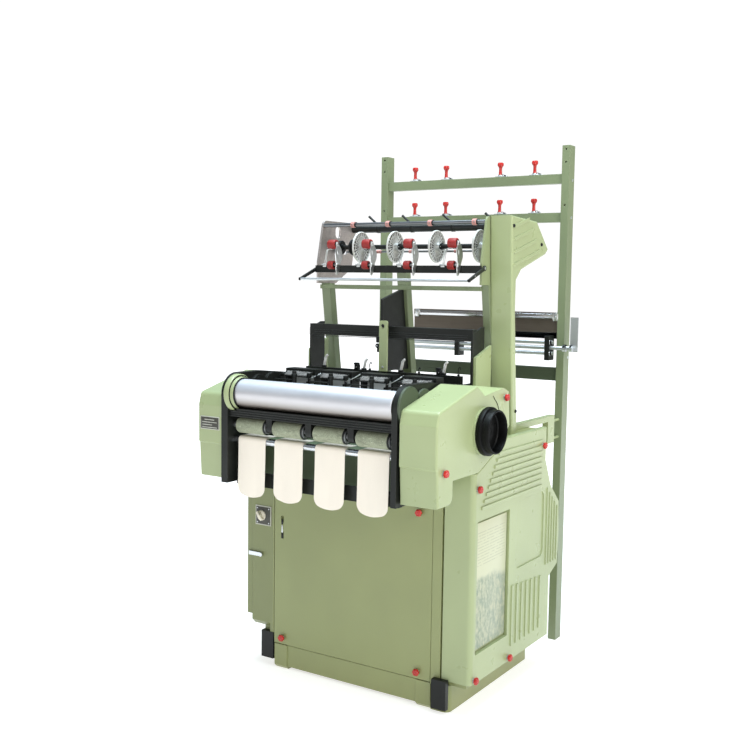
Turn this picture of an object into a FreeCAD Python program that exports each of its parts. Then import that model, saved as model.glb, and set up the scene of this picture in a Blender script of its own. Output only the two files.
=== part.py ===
"""Four-lane narrow-fabric power loom with its yarn feeder and rear creel stand.

Millimetres, +Z up. The origin is on the floor at the centre of the plinth's footprint, +X is the
machine's right side as it is seen from the front, and +Y points to the back. A "setback" is a
distance behind the plane of the front panel.
"""

import FreeCAD, Part
import os
import Sketcher

SIZES = {
    # plinth and cabinet
    "plinth_left": 331, "plinth_right": 400, "cabinet_depth": 640, "plinth_height": 93,
    "plinth_corner": 25, "plinth_wall": 12, "plinth_inset": 4, "foot_width": 58,
    "foot_depth": 40, "foot_height": 12, "foot_round": 12, "left_foot": 345, "right_foot": 273, "toe_width": 56, "toe_depth": 20, "toe_height": 102,
    "left_toe": 350.5, "left_toe_bottom": 30, "left_toe_rear": 18, "right_toe": 345,
    "right_toe_bottom": 16, "hanger_depth": 70, "hanger_bottom": 40, "overall_width": 974,
    "cabinet_width": 734, "cabinet_top": 831, "rear_step_setback": 260, "left_box_bottom": 147,
    "box_corner": 18, "box_depth": 68, "box_front": 25, "box_rear": 40, "box_low": 205,
    "box_high": 725, "door_skin": 2.5, "door_stile": 16, "door_thickness": 26, "door_inset": 7,
    "door_top": 745, "door_bottom": 186, "door_gap": 0.5, "hinge_barrel_radius": 6,
    "hinge_barrel_length": 60, "cover_thickness": 24, "cover_bottom": 112,
    "cover_edge": 4, "cover_flange": 12, "cover_flange_left": 374, "cover_corner": 18,
    "panel_gap": 1.5, "case_bottom": 97, "case_inset": 5, "bulge_setback": 720,
    "bulge_top": 620, "bulge_bottom": 375, "waist_setback": 575, "waist_height": 800,
    "bulge_slope": 90, "bulge_rise": 75, "bulge_round": 8, "bulge_fall": 34, "panel_left": 350,
    "panel_right": 331, "panel_bottom": 95, "panel_top": 745, "panel_thickness": 12,
    "panel_edge": 3, "catch_offset": 39, "catch_height": 541, "catch_spread": 60,
    "catch_width": 12, "catch_slot": 24, "catch_depth": 8,
    # pressed features of the right cover
    "recess_front": 30, "recess_rear": 273, "recess_bottom": 212, "recess_top": 666,
    "recess_depth": 14, "field_front": 330, "field_rear": 567, "field_bottom": 437,
    "field_top": 684, "field_depth": 4, "field_corner": 25, "louvre_count": 9,
    "louvre_first": 702, "louvre_pitch": 21, "louvre_front": 52, "louvre_shift": 15,
    "louvre_rear": 535, "louvre_width": 11, "rib_height": 4, "grille_count": 7,
    "grille_front": 300, "grille_pitch": 40, "grille_bottom": 165, "grille_top": 385,
    "grille_rise": 22, "grille_width": 12, "bulge_rib_count": 5, "bulge_rib_front": 592,
    "bulge_rib_pitch": 24, "bulge_rib_bottom": 395, "bulge_rib_top": 690, "bulge_rib_drop": 21,
    "bulge_rib_width": 8,
    # head housings
    "left_housing_inner": 375, "right_housing_inner": 353, "head_reach": 262, "jaw_depth": 109,
    "jaw_taper": 7, "crease_step": 5, "nose_slope": 12, "peak_setback": -8, "tail_setback": 192,
    "back_setback": 235, "heel_setback": 247, "belly_setback": 180, "belly_front": 20,
    "jaw_corner": 30, "housing_edge": 7, "dip_setback": 51, "dip_reach": 75, "dip_clear": 1,
    "dip_rise": 3, "dip_shift": 20, "brow_round": 18, "boss_radius": 78, "boss_stretch": 81,
    "boss_height": 8,
    # side plates, deck and bars of the head
    "left_plate_thickness": 28, "right_plate_thickness": 20, "plate_proud": 4,
    "plate_crown_setback": -80, "plate_shoulder_setback": 200, "plate_rear_setback": 310,
    "plate_corner": 74, "hump_radius": 52, "hump_width": 10, "front_hump": -100,
    "rear_hump": -22, "small_hump": 48, "wall_hump": -110, "wall_disc": -200, "wall_gap": 8,
    "beam_front": -150, "lower_bar_front": -215, "lower_bar_height": 50, "lower_bar_flange": 22,
    "lower_bar_wall": 8, "tube_radius": 50, "tube_wall": 3, "tube_setback": -222,
    "flange_radius": 66, "flange_width": 22, "ring_radius": 57, "ring_width": 12,
    "breast_front": -258, "breast_depth": 53, "breast_gap": 1, "breast_height": 28,
    "groove_start": 4, "groove_count": 3, "groove_pitch": 8, "groove_depth": 3,
    "groove_width": 4, "bracket_width": 24, "bracket_reach": 66, "bracket_depth": 40,
    # lanes, take-up and tapes
    "second_lane": -102, "outer_lane_pitch": 160, "lane_pitch": 171, "roller_radius": 28,
    "roller_length": 126, "take_up_shaft": 10, "take_up_setback": -222, "roller_gap": 4,
    "press_rod_radius": 12, "press_gap": 11, "journal_length": 15, "running_gap": 0.08,
    "bracket_gap": 0.3, "tape_width": 120, "tape_thickness": 1.2, "tape_gap": 0.4,
    "tape_tail": 57, "tape_corner": 42,
    # main shaft and handwheel
    "shaft_radius": 12.5, "shaft_setback": 48, "shaft_left_end": 410, "wheel_gap": 2,
    "wheel_back": 81, "wheel_back_width": 18, "wheel_rim": 73, "wheel_width": 43,
    "wheel_wall": 7, "wheel_web": 9,
    # sley, reeds and weft needles
    "sley_setback": 100, "sley_radius": 12, "sley_arm_width": 20, "sley_arm_depth": 16,
    "sley_frame_width": 136, "sley_frame_depth": 50, "sley_frame_front": 32,
    "sley_frame_height": 92, "sley_frame_side": 8, "sley_frame_top": 20, "sley_offset": 6,
    "reed_thickness": 6, "reed_setback": 64, "reed_gap_count": 28, "reed_gap": 2.4,
    "reed_pitch": 4.2, "reed_rail": 5, "needle_offset": 34, "needle_setback": -42,
    "needle_post": 8, "needle_length": 88, "needle_width": 9, "needle_thickness": 3,
    "needle_cap_radius": 11, "needle_cap_height": 10,
    # harness guide above the head
    "rail_front": 185, "rail_depth": 15, "lever_offset": -20, "lever_width": 7,
    "lever_depth": 12, "lever_height": 46, "lever_foot": 20, "lever_foot_height": 12,
    "harness_front": 203, "harness_depth": 30, "harness_height": 41, "harness_end_depth": 86,
    "harness_end_bevel": 22, "harness_end_slope": 68, "harness_left": 343, "harness_right": 359,
    "end_plate_thickness": 8, "gusset_front": 210, "gusset_rear": 325, "gusset_thickness": 11,
    "upright_width": 38, "upright_depth": 36, "upright_top_setback": 312,
    "upright_lean": 78, "side_upright": 350, "tie_section": 16, "tie_depth": 12,
    "right_upright_width": 28, "centre_plate_front": 176, "centre_plate_thickness": 12,
    "centre_plate_bevel": 34, "strap_width": 34, "strap_thickness": 8, "strap_offset": 12,
    # right column
    "column_left": 360, "column_right": 442, "column_top_front": 317,
    "column_knee_setback": 325, "column_foot_setback": 361, "column_foot_depth": 42,
    "column_back_setback": 363, "column_chin_setback": 404, "column_tip_setback": 612,
    "column_nose_setback": 636, "column_crown_setback": 530, "column_taper": 1,
    "column_edge": 7, "emboss_height": 2.5, "emboss_count": 4, "emboss_pitch": 45,
    "emboss_start": 338, "emboss_width": 11, "emboss_length": 215, "emboss_shrink": 32,
    "emboss_slope": 0.26,
    # yarn feeder
    "feed_second_lane": -77, "feed_outer_pitch": 156, "feed_pitch": 181,
    "feeder_half_span": 349, "feeder_plate_thickness": 8, "feeder_plate_front": 262,
    "feeder_plate_rear": 524, "feeder_plate_lean": 34, "feeder_plate_foot": 50,
    "feeder_plate_drop": 20, "feeder_plate_corner": 22, "slot_width": 34, "slot_length": 46,
    "upper_slot_setback": 392, "lower_slot_setback": 443, "feeder_tube_radius": 12,
    "feeder_tube_setback": 500, "top_rail_front": 293, "top_rail_section": 12,
    "collar_size": 18, "collar_width": 16, "collar_offset": 18, "finger_rise": 30,
    "finger_lean": 28, "finger_section": 6, "finger_offset": -18, "feeder_bar_front": 254,
    "feeder_bar_depth": 8, "feeder_bar_height": 27, "guide_rod_radius": 4,
    "guide_rod_setback": 456, "feed_shaft_radius": 9, "feed_setback": 385, "disc_radius": 60,
    "disc_rim": 6, "disc_width": 9, "disc_hub": 16, "disc_hub_width": 34, "spoke_count": 18,
    "spoke_width": 3, "spoke_thickness": 3, "press_offset": -28, "press_setback": 234,
    "press_radius": 18, "press_length": 34, "press_pin": 4, "press_head": 7,
    "press_head_width": 3, "lower_press_radius": 16, "lower_press_length": 26,
    "lower_press_shift": 10, "arm_thickness": 5, "arm_gap": 0.6, "arm_width": 16,
    "bail_setback": 276, "bail_reach": 114, "bail_drop": 44, "bail_arm_width": 12,
    "bail_arm_thickness": 6, "bail_rod_radius": 4.5, "bail_boss": 9, "bail_pin": 5,
    "bail_gap": 0.5,
    # creel stand
    "post_width": 32, "post_depth": 53, "post_height": 2000, "left_post": 451,
    "right_post": 396, "post_setback": 887, "post_hole_radius": 4, "post_hole_depth": 12,
    "top_hole": 95, "second_hole": 45, "third_hole": 28, "creel_bar_depth": 30,
    "creel_bar_inset": 8, "upper_bar_top": 1890, "lower_bar_top": 1738, "creel_bar_height": 38,
    "rear_bar_bottom": 1066, "rear_bar_height": 52, "creel_inner_left": -154,
    "creel_inner_right": 101, "creel_pitch": 153, "creel_base_radius": 12,
    "creel_base_height": 7, "creel_stem_radius": 4.5, "creel_cap_radius": 13,
    "creel_knob_height": 60, "creel_cap_height": 13, "creel_screw_radius": 3,
    "creel_screw_height": 6, "creel_screw_offset": 28, "left_stay": 445, "stay_width": 24,
    "stay_front": 410, "stay_height": 22, "stay_rear": 822, "stay_block": 62,
    "stay_rod_radius": 5,
    # warp guide behind the head
    "warp_bar_bottom": 1235, "warp_bar_height": 25, "warp_sheet": 4, "warp_sheet_top": 1340,
    "warp_sheet_left": 290, "warp_lip": 22, "warp_lip_depth": 28, "warp_bracket_width": 20,
    "warp_bracket_bottom": 1150, "warp_bracket_top": 1247, "warp_bracket_front": 846,
    "warp_bracket_middle": -63, "warp_bracket_right": 345, "warp_bracket_left": -380,
    "warp_rod_radius": 8, "warp_rod_setback": 860, "warp_rod_top": 1222, "warp_rod_pitch": 22,
    "warp_axle_end": 462, "warp_collar_radius": 13, "warp_collar_width": 14, "warp_collar": 418,
    "warp_end_collar": 446, "warp_end_bottom": 1187, "warp_end_top": 1324, "warp_end_left": 443,
    "warp_end_width": 32, "warp_end_thickness": 4,
    # controls and hand screws
    "switch_plate": 74, "switch_plate_thickness": 3, "switch_height": 573, "switch_knob": 20,
    "switch_offset": 4, "switch_knob_length": 18, "switch_grip": 8, "switch_gap": 0.3,
    "latch_length": 59, "latch_width": 15, "latch_thickness": 7, "latch_height": 423,
    "latch_right": 408, "latch_gap": 0.3, "knob_radius": 13, "knob_length": 17, "knob_neck": 6,
    "knob_neck_length": 4, "panel_knob_left": 307, "panel_knob_right": 278,
    "panel_knob_low": 121, "panel_knob_high": 676, "cover_knob_front": 24,
    "cover_knob_rear": 543, "cover_knob_mid": 285, "cover_knob_low": 128,
    "cover_knob_high": 776, "jaw_knob_setback": -218, "tail_knob_setback": 200,
}

# heights over the top of the cabinet, which carries all of these
RISES = {
    # plinth and cabinet
    "rear_top": 84, "cover_top": 92,
    # head housings
    "jaw_bottom": -74, "crease_height": 49, "brow_height": 181, "nose_height": 225,
    "peak_height": 288, "tail_height": 268, "back_height": 251, "heel_height": 135,
    "belly_height": 67, "dip_height": 251,
    # side plates, deck and bars of the head
    "plate_bottom": -86, "plate_crown": 297, "plate_shoulder": 269, "hump_height": 237,
    "beam_bottom": -71, "deck_top": 49, "lower_bar_bottom": -96, "tube_height": 228,
    # lanes, take-up and tapes
    "tape_end": -131,
    # main shaft and handwheel
    "shaft_height": 137,
    # sley, reeds and weft needles
    "sley_height": 99, "sley_frame_bottom": 209, "needle_post_top": 299, "needle_height": 265,
    # harness guide above the head
    "rail_bottom": 254, "rail_top": 297, "harness_bottom": 419, "harness_end_top": 467,
    "gusset_low": 363, "gusset_high": 402, "upright_top": 614, "centre_upright_top": 656,
    "tie_height": 593, "centre_plate_top": 593, "strap_top": 482, "strap_bottom": 298,
    # right column
    "column_top": 858, "column_knee": 704, "column_back_height": 528,
    "column_throat_height": 633, "column_chin_height": 670, "column_tip_height": 731,
    "column_nose_height": 751, "column_crown_height": 848, "emboss_low": 681,
    # yarn feeder
    "feeder_plate_top": 856, "feeder_plate_bottom": 614, "feeder_plate_shelf": 695,
    "upper_slot_height": 814, "lower_slot_height": 751, "feeder_tube_height": 829,
    "top_rail_bottom": 832, "feeder_bar_bottom": 655, "guide_rod_height": 740,
    "feed_height": 755, "press_height": 760, "lower_press_height": 683, "arm_tail": 645,
    "bail_height": 673,
    # creel stand
    "stay_block_bottom": -3, "stay_upper_rod": 80, "stay_lower_rod": 10,
    # controls and hand screws
    "cover_knob_top": 26, "jaw_knob_height": 34, "tail_knob_height": 235,
}


class Dim:
    """A size that knows both its number and its formula in the spreadsheet."""

    def __init__(self, value, text):
        self.value = float(value)
        self.text = text

    def joined(self, other, sign, value):
        return Dim(value, "(%s %s %s)" % (self.text, sign, formula(other)))

    def __add__(self, other):
        return self.joined(other, "+", self.value + number(other))

    def __radd__(self, other):
        return Dim(other, repr(other)) + self

    def __sub__(self, other):
        return self.joined(other, "-", self.value - number(other))

    def __rsub__(self, other):
        return Dim(other, repr(other)) - self

    def __mul__(self, other):
        return self.joined(other, "*", self.value * number(other))

    __rmul__ = __mul__

    def __truediv__(self, other):
        return self.joined(other, "/", self.value / number(other))

    def __neg__(self):
        return Dim(-self.value, "(0 - %s)" % self.text)


class Sheet:
    """Every size of the spreadsheet as an attribute; a rise comes as its height on the machine."""

    def __getattr__(self, name):
        size = Dim({**SIZES, **RISES}[name], "sizes." + name)
        return self.cabinet_top + size if name in RISES else size


def number(size):
    return size.value if isinstance(size, Dim) else float(size)


def formula(size):
    return size.text if isinstance(size, Dim) else repr(size)


document = FreeCAD.newDocument("loom")
cells = document.addObject("Spreadsheet::Sheet", "sizes")
for row, (alias, value) in enumerate({**SIZES, **RISES}.items(), start=1):
    cells.set("A%d" % row, alias)
    cells.set("B%d" % row, str(value))
    cells.setAlias("B%d" % row, alias)
document.recompute()
s = Sheet()
nodes = []

ALONG_X = FreeCAD.Rotation(FreeCAD.Vector(0, 1, 0), 90)
ALONG_Y = FreeCAD.Rotation(FreeCAD.Vector(1, 0, 0), -90)
UPRIGHT = FreeCAD.Rotation()
AXIS_TURNS = {"X": ALONG_X, "Y": ALONG_Y, "Z": UPRIGHT}

front = -s.cabinet_depth / 2
lanes = [
    s.second_lane - s.outer_lane_pitch,
    s.second_lane,
    s.second_lane + s.lane_pitch,
    s.second_lane + 2 * s.lane_pitch,
]
feed_lanes = [
    s.feed_second_lane - s.feed_outer_pitch,
    s.feed_second_lane,
    s.feed_second_lane + s.feed_pitch,
    s.feed_second_lane + 2 * s.feed_pitch,
]
right_face = s.overall_width / 2
left_face = -right_face
head_left = -s.left_housing_inner + s.left_plate_thickness
head_right = s.right_housing_inner - s.wall_gap - s.right_plate_thickness
breast_bottom = s.tube_height - s.tube_radius - s.breast_gap - s.breast_height
take_up_height = breast_bottom - s.roller_gap - s.roller_radius
press_rod_height = take_up_height - s.roller_radius - s.press_gap - s.press_rod_radius


# ---------------------------------------------------------------- building blocks

def bind(item, name, size):
    """Set a property and tie it to its formula in the spreadsheet."""
    if isinstance(size, Dim):
        item.setExpression(name, size.text)
    elif name.startswith("Placement"):
        item.setExpression(name, repr(float(size)))
    else:
        setattr(item, name, size)


def put(item, spot):
    """Tie an object's position to three sizes."""
    for axis, size in zip("xyz", spot):
        bind(item, "Placement.Base." + axis, size)
    return item


def keep(item, label):
    """Name a finished sub-part, which becomes one file."""
    item.Label = label
    nodes.append(item)
    return item


def block(size, spot):
    """A box by its three sizes and its lowest corner."""
    box = document.addObject("Part::Box", "block")
    for name, length in zip(("Length", "Width", "Height"), size):
        bind(box, name, length)
    return put(box, spot)


def rod(axis, radius, length, spot):
    """A cylinder along one axis, from its low end."""
    cylinder = document.addObject("Part::Cylinder", "rod")
    cylinder.Placement = FreeCAD.Placement(FreeCAD.Vector(), AXIS_TURNS[axis])
    bind(cylinder, "Radius", radius)
    bind(cylinder, "Height", length)
    return put(cylinder, spot)


def fuse(*items):
    joined = document.addObject("Part::MultiFuse", "fusion")
    joined.Shapes = list(items)
    joined.Refine = True
    return joined


def cut(base, *tools):
    tool = tools[0] if len(tools) == 1 else fuse(*tools)
    result = document.addObject("Part::Cut", "cut")
    result.Base = base
    result.Tool = tool
    result.Refine = True
    return result


def group(*items):
    """Separate solids that share one file."""
    together = document.addObject("Part::Compound", "group")
    together.Links = list(items)
    return together


def copy_at(item, spot):
    """A second example of a finished solid, moved by three sizes."""
    document.recompute()
    twin = document.addObject("Part::Feature", "copy")
    twin.Shape = item.Shape
    return put(twin, spot)


def origin_of(body, role):
    return next(feature for feature in body.Origin.OriginFeatures if feature.Role == role)


def sketch_on(body, plane, offset=0):
    """A sketch on one of the body's origin planes, moved along the plane's normal."""
    sketch = body.newObject("Sketcher::SketchObject", "sketch")
    sketch.AttachmentSupport = (origin_of(body, plane + "_Plane"), [""])
    sketch.MapMode = "FlatFace"
    if isinstance(offset, Dim):
        sketch.setExpression("AttachmentOffset.Base.z", offset.text)
    elif offset:
        sketch.AttachmentOffset = FreeCAD.Placement(FreeCAD.Vector(0, 0, offset), UPRIGHT)
    return sketch


def hold(sketch, kind, place, size):
    """Add one sketch dimension and tie it to its formula."""
    index = sketch.addConstraint(Sketcher.Constraint(kind, *place, number(size)))
    if isinstance(size, Dim):
        sketch.setExpression("Constraints[%d]" % index, size.text)


def hold_point(sketch, edge, end, point):
    hold(sketch, "DistanceX", (-1, 1, edge, end), point[0])
    hold(sketch, "DistanceY", (-1, 1, edge, end), point[1])


def polygon(sketch, points):
    """A closed outline of straight lines through points given as pairs of sizes."""
    first = sketch.GeometryCount
    spots = [FreeCAD.Vector(number(u), number(v), 0) for u, v in points]
    for start, end in zip(spots, spots[1:] + spots[:1]):
        sketch.addGeometry(Part.LineSegment(start, end), False)
    for index in range(len(points)):
        after = first + (index + 1) % len(points)
        sketch.addConstraint(Sketcher.Constraint("Coincident", first + index, 2, after, 1))
    for index, point in enumerate(points):
        hold_point(sketch, first + index, 1, point)


def rectangle(sketch, low, high):
    polygon(sketch, [low, (high[0], low[1]), high, (low[0], high[1])])


def circle(sketch, centre, radius):
    spot = FreeCAD.Vector(number(centre[0]), number(centre[1]), 0)
    edge = sketch.addGeometry(Part.Circle(spot, FreeCAD.Vector(0, 0, 1), number(radius)), False)
    hold_point(sketch, edge, 3, centre)
    hold(sketch, "Radius", (edge,), radius)


def new_body(name):
    return document.addObject("PartDesign::Body", name)


def pad(body, plane, start, length, draw):
    """Pad an outline from the coordinate start, along the plane's global axis."""
    backwards = plane == "XZ"
    sketch = sketch_on(body, plane, -(start + length) if backwards else start)
    draw(sketch)
    feature = body.newObject("PartDesign::Pad", "pad")
    feature.Profile = sketch
    bind(feature, "Length", length)
    return feature


def pocket(body, plane, start, length, draw):
    """Cut an outline from the coordinate start over a length along the global axis."""
    backwards = plane == "XZ"
    sketch = sketch_on(body, plane, -(start + length) if backwards else start)
    draw(sketch)
    feature = body.newObject("PartDesign::Pocket", "pocket")
    feature.Profile = sketch
    feature.Reversed = True
    bind(feature, "Length", length)
    return feature


def turn(body, profile):
    """Revolve an outline of (distance along X, radius) about the body's X axis."""
    sketch = sketch_on(body, "XY")
    polygon(sketch, profile)
    feature = body.newObject("PartDesign::Revolution", "turned")
    feature.Profile = sketch
    feature.ReferenceAxis = (origin_of(body, "X_Axis"), [""])
    feature.Angle = 360
    return feature


def round_edges(body, radius, chosen):
    """Fillet the edges of the body's tip that the test chooses."""
    document.recompute()
    base = body.Tip
    names = [
        "Edge%d" % index
        for index, edge in enumerate(base.Shape.Edges, start=1)
        if chosen(edge)
    ]
    fillet = body.newObject("PartDesign::Fillet", "rounding")
    fillet.Base = (base, names)
    bind(fillet, "Radius", radius)
    body.Tip = fillet
    return fillet


def runs_along(edge, axis):
    box = edge.BoundBox
    spans = {"X": box.XLength, "Y": box.YLength, "Z": box.ZLength}
    return spans.pop(axis) > 0.5 and max(spans.values()) < 0.01


def near(edge, **coordinates):
    centre = edge.BoundBox.Center
    spots = {"x": centre.x, "y": centre.y, "z": centre.z}
    return all(abs(spots[axis] - number(size)) < 0.6 for axis, size in coordinates.items())


# ---------------------------------------------------------------- plinth and cabinet

def build_plinth():
    """The base tray, with its front rail raised between two corner posts."""
    body = new_body("plinth")
    left = -s.plinth_left
    right = s.plinth_right
    face = front + s.plinth_inset
    wall = s.plinth_wall
    pad(body, "XY", 0, s.plinth_height,
        lambda sketch: rectangle(sketch, (left, face), (right, -front)))
    round_edges(body, s.plinth_corner, lambda edge: runs_along(edge, "Z"))
    pocket(body, "XY", wall, s.plinth_height - wall,
           lambda sketch: rectangle(sketch, (left + wall, face + wall), (right - wall, -front - wall)))

    pocket(body, "XY", 0, s.foot_height,
           lambda sketch: rectangle(sketch, (-s.left_foot, face - 1),
                                    (s.right_foot + s.foot_width, front + s.foot_depth)))
    post = [
        (front + s.foot_round, 0),
        (front + s.foot_depth, 0),
        (front + s.foot_depth, s.plinth_height),
        (front, s.plinth_height),
        (front, s.foot_round),
    ]
    for start in (-s.left_foot, s.right_foot):
        pad(body, "YZ", start, s.foot_width, lambda sketch: polygon(sketch, post))
    keep(body, "base_plinth")


def build_toe_blocks():
    size = (s.toe_width, s.toe_depth, s.toe_height)
    left = block(size, (-s.left_toe - s.toe_width, front + s.left_toe_rear - s.toe_depth,
                        s.left_toe_bottom))
    right = block(size, (s.right_toe, front - s.toe_depth, s.right_toe_bottom))
    keep(group(left, right), "toe_blocks")


def case_outline(bottom, top, start, gap):
    """Side outline of the gear case and of the cover over it, from the front edge round."""
    slope = (s.heel_setback - s.belly_setback) / (s.heel_height - s.belly_height)
    shoulder = s.belly_setback + gap + (top - s.belly_height + gap) * slope
    return [
        (front + start, bottom),
        (front + start, s.cabinet_top - gap),
        (front + s.belly_front, s.cabinet_top - gap),
        (front + s.belly_setback + gap, s.belly_height - gap),
        (front + shoulder, top),
        (front + s.waist_setback, top),
        (front + s.waist_setback, s.waist_height),
        (front + s.bulge_setback - s.bulge_slope, s.bulge_top + s.bulge_rise),
        (front + s.bulge_setback - s.bulge_round, s.bulge_top),
        (front + s.bulge_setback, (s.bulge_top + s.bulge_bottom) / 2),
        (front + s.bulge_setback - s.bulge_round, s.bulge_bottom),
        (front + s.cabinet_depth - s.case_inset, s.bulge_bottom - s.bulge_fall),
        (front + s.cabinet_depth - s.case_inset, bottom),
    ]


def build_cabinet():
    """One welded carcass: the middle, the gear case on the right and the control box."""
    body = new_body("cabinet")
    half = s.cabinet_width / 2
    middle = [
        (front, s.plinth_height),
        (front, s.cabinet_top),
        (front + s.rear_step_setback, s.cabinet_top),
        (front + s.rear_step_setback, s.rear_top),
        (-front, s.rear_top),
        (-front, s.plinth_height),
    ]
    pad(body, "YZ", -half, s.cabinet_width, lambda sketch: polygon(sketch, middle))
    case_right = right_face - s.cover_thickness
    pad(body, "YZ", half, case_right - half,
        lambda sketch: polygon(sketch, case_outline(
            s.case_bottom, s.rear_top, s.cover_flange, 0)))
    box_left = -(right_face - s.door_inset - s.door_thickness)
    left_box = [
        (front, s.left_box_bottom + s.box_corner),
        (front, s.cabinet_top),
        (front + s.rear_step_setback, s.cabinet_top),
        (front + s.rear_step_setback, s.rear_top),
        (-front, s.rear_top),
        (-front, s.left_box_bottom),
        (front + s.box_corner, s.left_box_bottom),
    ]
    pad(body, "YZ", box_left, -half - box_left, lambda sketch: polygon(sketch, left_box))
    pocket(body, "YZ", box_left, s.box_depth,
           lambda sketch: rectangle(sketch, (front + s.box_front, s.box_low),
                                    (-front - s.box_rear, s.box_high)))
    hanger = -s.left_toe - s.toe_width
    pad(body, "XY", s.hanger_bottom, s.left_box_bottom + 1 - s.hanger_bottom,
        lambda sketch: rectangle(sketch, (hanger + 2, front + s.left_toe_rear),
                                 (-s.left_toe - 2, front + s.hanger_depth)))
    pocket(body, "XZ", front, s.left_toe_rear,
           lambda sketch: rectangle(sketch, (hanger, s.hanger_bottom),
                                    (-s.left_toe + 0.5, s.left_toe_bottom + s.toe_height)))
    pocket(body, "XZ", front, s.panel_thickness,
           lambda sketch: rectangle(sketch, (-s.panel_left, s.plinth_height - 1),
                                    (s.panel_right, s.panel_top + s.panel_gap)))
    keep(body, "cabinet")


def build_front_panel():
    body = new_body("panel")
    gap = s.panel_gap
    left = -s.panel_left + gap
    right = s.panel_right - gap
    pad(body, "XZ", front, s.panel_thickness,
        lambda sketch: rectangle(sketch, (left, s.panel_bottom), (right, s.panel_top)))
    round_edges(body, s.panel_edge, lambda edge: near(edge, y=front))
    catch = -s.panel_left + s.catch_offset

    def slots(sketch):
        for way in (-1, 1):
            middle = s.catch_height + way * s.catch_spread / 2
            rectangle(sketch, (catch - s.catch_width / 2, middle - s.catch_slot / 2),
                      (catch + s.catch_width / 2, middle + s.catch_slot / 2))

    pocket(body, "XZ", front, s.catch_depth, slots)
    keep(body, "front_panel")


def build_right_cover():
    """The pressed side cover: a plate with a label recess, a field, louvres and ribs."""
    body = new_body("cover")
    inner = right_face - s.cover_thickness
    plate = s.cover_thickness - s.rib_height
    outline = case_outline(s.cover_bottom, s.cover_top, 0, s.panel_gap)
    pad(body, "YZ", inner, plate, lambda sketch: polygon(sketch, outline))
    face = inner + plate
    pad(body, "XZ", front, s.cover_flange,
        lambda sketch: rectangle(sketch, (s.cover_flange_left, s.cover_bottom),
                                 (inner + 1, s.cabinet_top - s.panel_gap)))
    round_edges(body, s.cover_corner,
                lambda edge: runs_along(edge, "Z") and near(edge, x=face, y=front))
    round_edges(body, s.cover_edge, lambda edge: near(edge, x=face) and edge.BoundBox.XLength < 0.01)
    pocket(body, "YZ", face - s.recess_depth, s.recess_depth,
           lambda sketch: rectangle(sketch, (front + s.recess_front, s.recess_bottom),
                                    (front + s.recess_rear, s.recess_top)))
    pocket(body, "YZ", face - s.field_depth, s.field_depth,
           lambda sketch: rectangle(sketch, (front + s.field_front, s.field_bottom),
                                    (front + s.field_rear, s.field_top)))
    round_edges(body, s.field_corner,
                lambda edge: runs_along(edge, "X")
                and edge.BoundBox.XMin > number(face - s.field_depth) - 1
                and number(s.field_front) - 2 < edge.BoundBox.Center.y - number(front)
                and edge.BoundBox.Center.y - number(front) < number(s.field_rear) + 2
                and number(s.field_bottom) - 2 < edge.BoundBox.Center.z < number(s.field_top) + 2)

    def ribs(sketch):
        for index in range(SIZES["louvre_count"]):
            height = s.louvre_first + index * s.louvre_pitch
            rectangle(sketch, (front + s.louvre_front + index * s.louvre_shift, height),
                      (front + s.louvre_rear, height + s.louvre_width))
        for index in range(SIZES["grille_count"]):
            rear = front + s.grille_front + index * s.grille_pitch
            top = s.grille_top - index * s.grille_rise / 6
            rectangle(sketch, (rear, s.grille_bottom), (rear + s.grille_width, top))
        for index in range(SIZES["bulge_rib_count"]):
            rear = front + s.bulge_rib_front + index * s.bulge_rib_pitch
            top = s.bulge_rib_top - index * s.bulge_rib_drop
            rectangle(sketch, (rear, s.bulge_rib_bottom), (rear + s.bulge_rib_width, top))

    pad(body, "YZ", face, s.rib_height, ribs)
    keep(body, "right_side_cover")


def build_side_door():
    """A folded pan with two hinge barrels on its rear edge."""
    body = new_body("door")
    outer = -(right_face - s.door_inset)
    thickness = s.door_thickness - s.door_gap
    rear = -front - s.hinge_barrel_radius
    pad(body, "YZ", outer, thickness,
        lambda sketch: rectangle(sketch, (front + 1, s.door_bottom), (rear, s.door_top)))
    round_edges(body, s.cover_edge,
                lambda edge: near(edge, x=outer) and not near(edge, y=rear))
    skin = s.door_skin
    pocket(body, "YZ", outer + skin, thickness - skin,
           lambda sketch: rectangle(sketch, (front + 1 + skin, s.door_bottom + skin),
                                    (rear - s.door_stile, s.door_top - skin)))
    for height in (s.door_bottom + s.hinge_barrel_length, s.door_top - 2 * s.hinge_barrel_length):
        pad(body, "XY", height, s.hinge_barrel_length,
            lambda sketch: circle(sketch, (outer + s.hinge_barrel_radius, rear),
                                  s.hinge_barrel_radius))
    keep(body, "side_door")


# ---------------------------------------------------------------- hand screws and controls

def hand_screw():
    body = new_body("hand_screw")
    turn(body, [
        (0, 0),
        (0, s.knob_neck),
        (s.knob_neck_length, s.knob_neck),
        (s.knob_neck_length, s.knob_radius - 2),
        (s.knob_neck_length + 2, s.knob_radius),
        (s.knob_length - 4, s.knob_radius),
        (s.knob_length, s.knob_radius - 5),
        (s.knob_length, 0),
    ])
    document.recompute()
    return body.Shape


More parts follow.
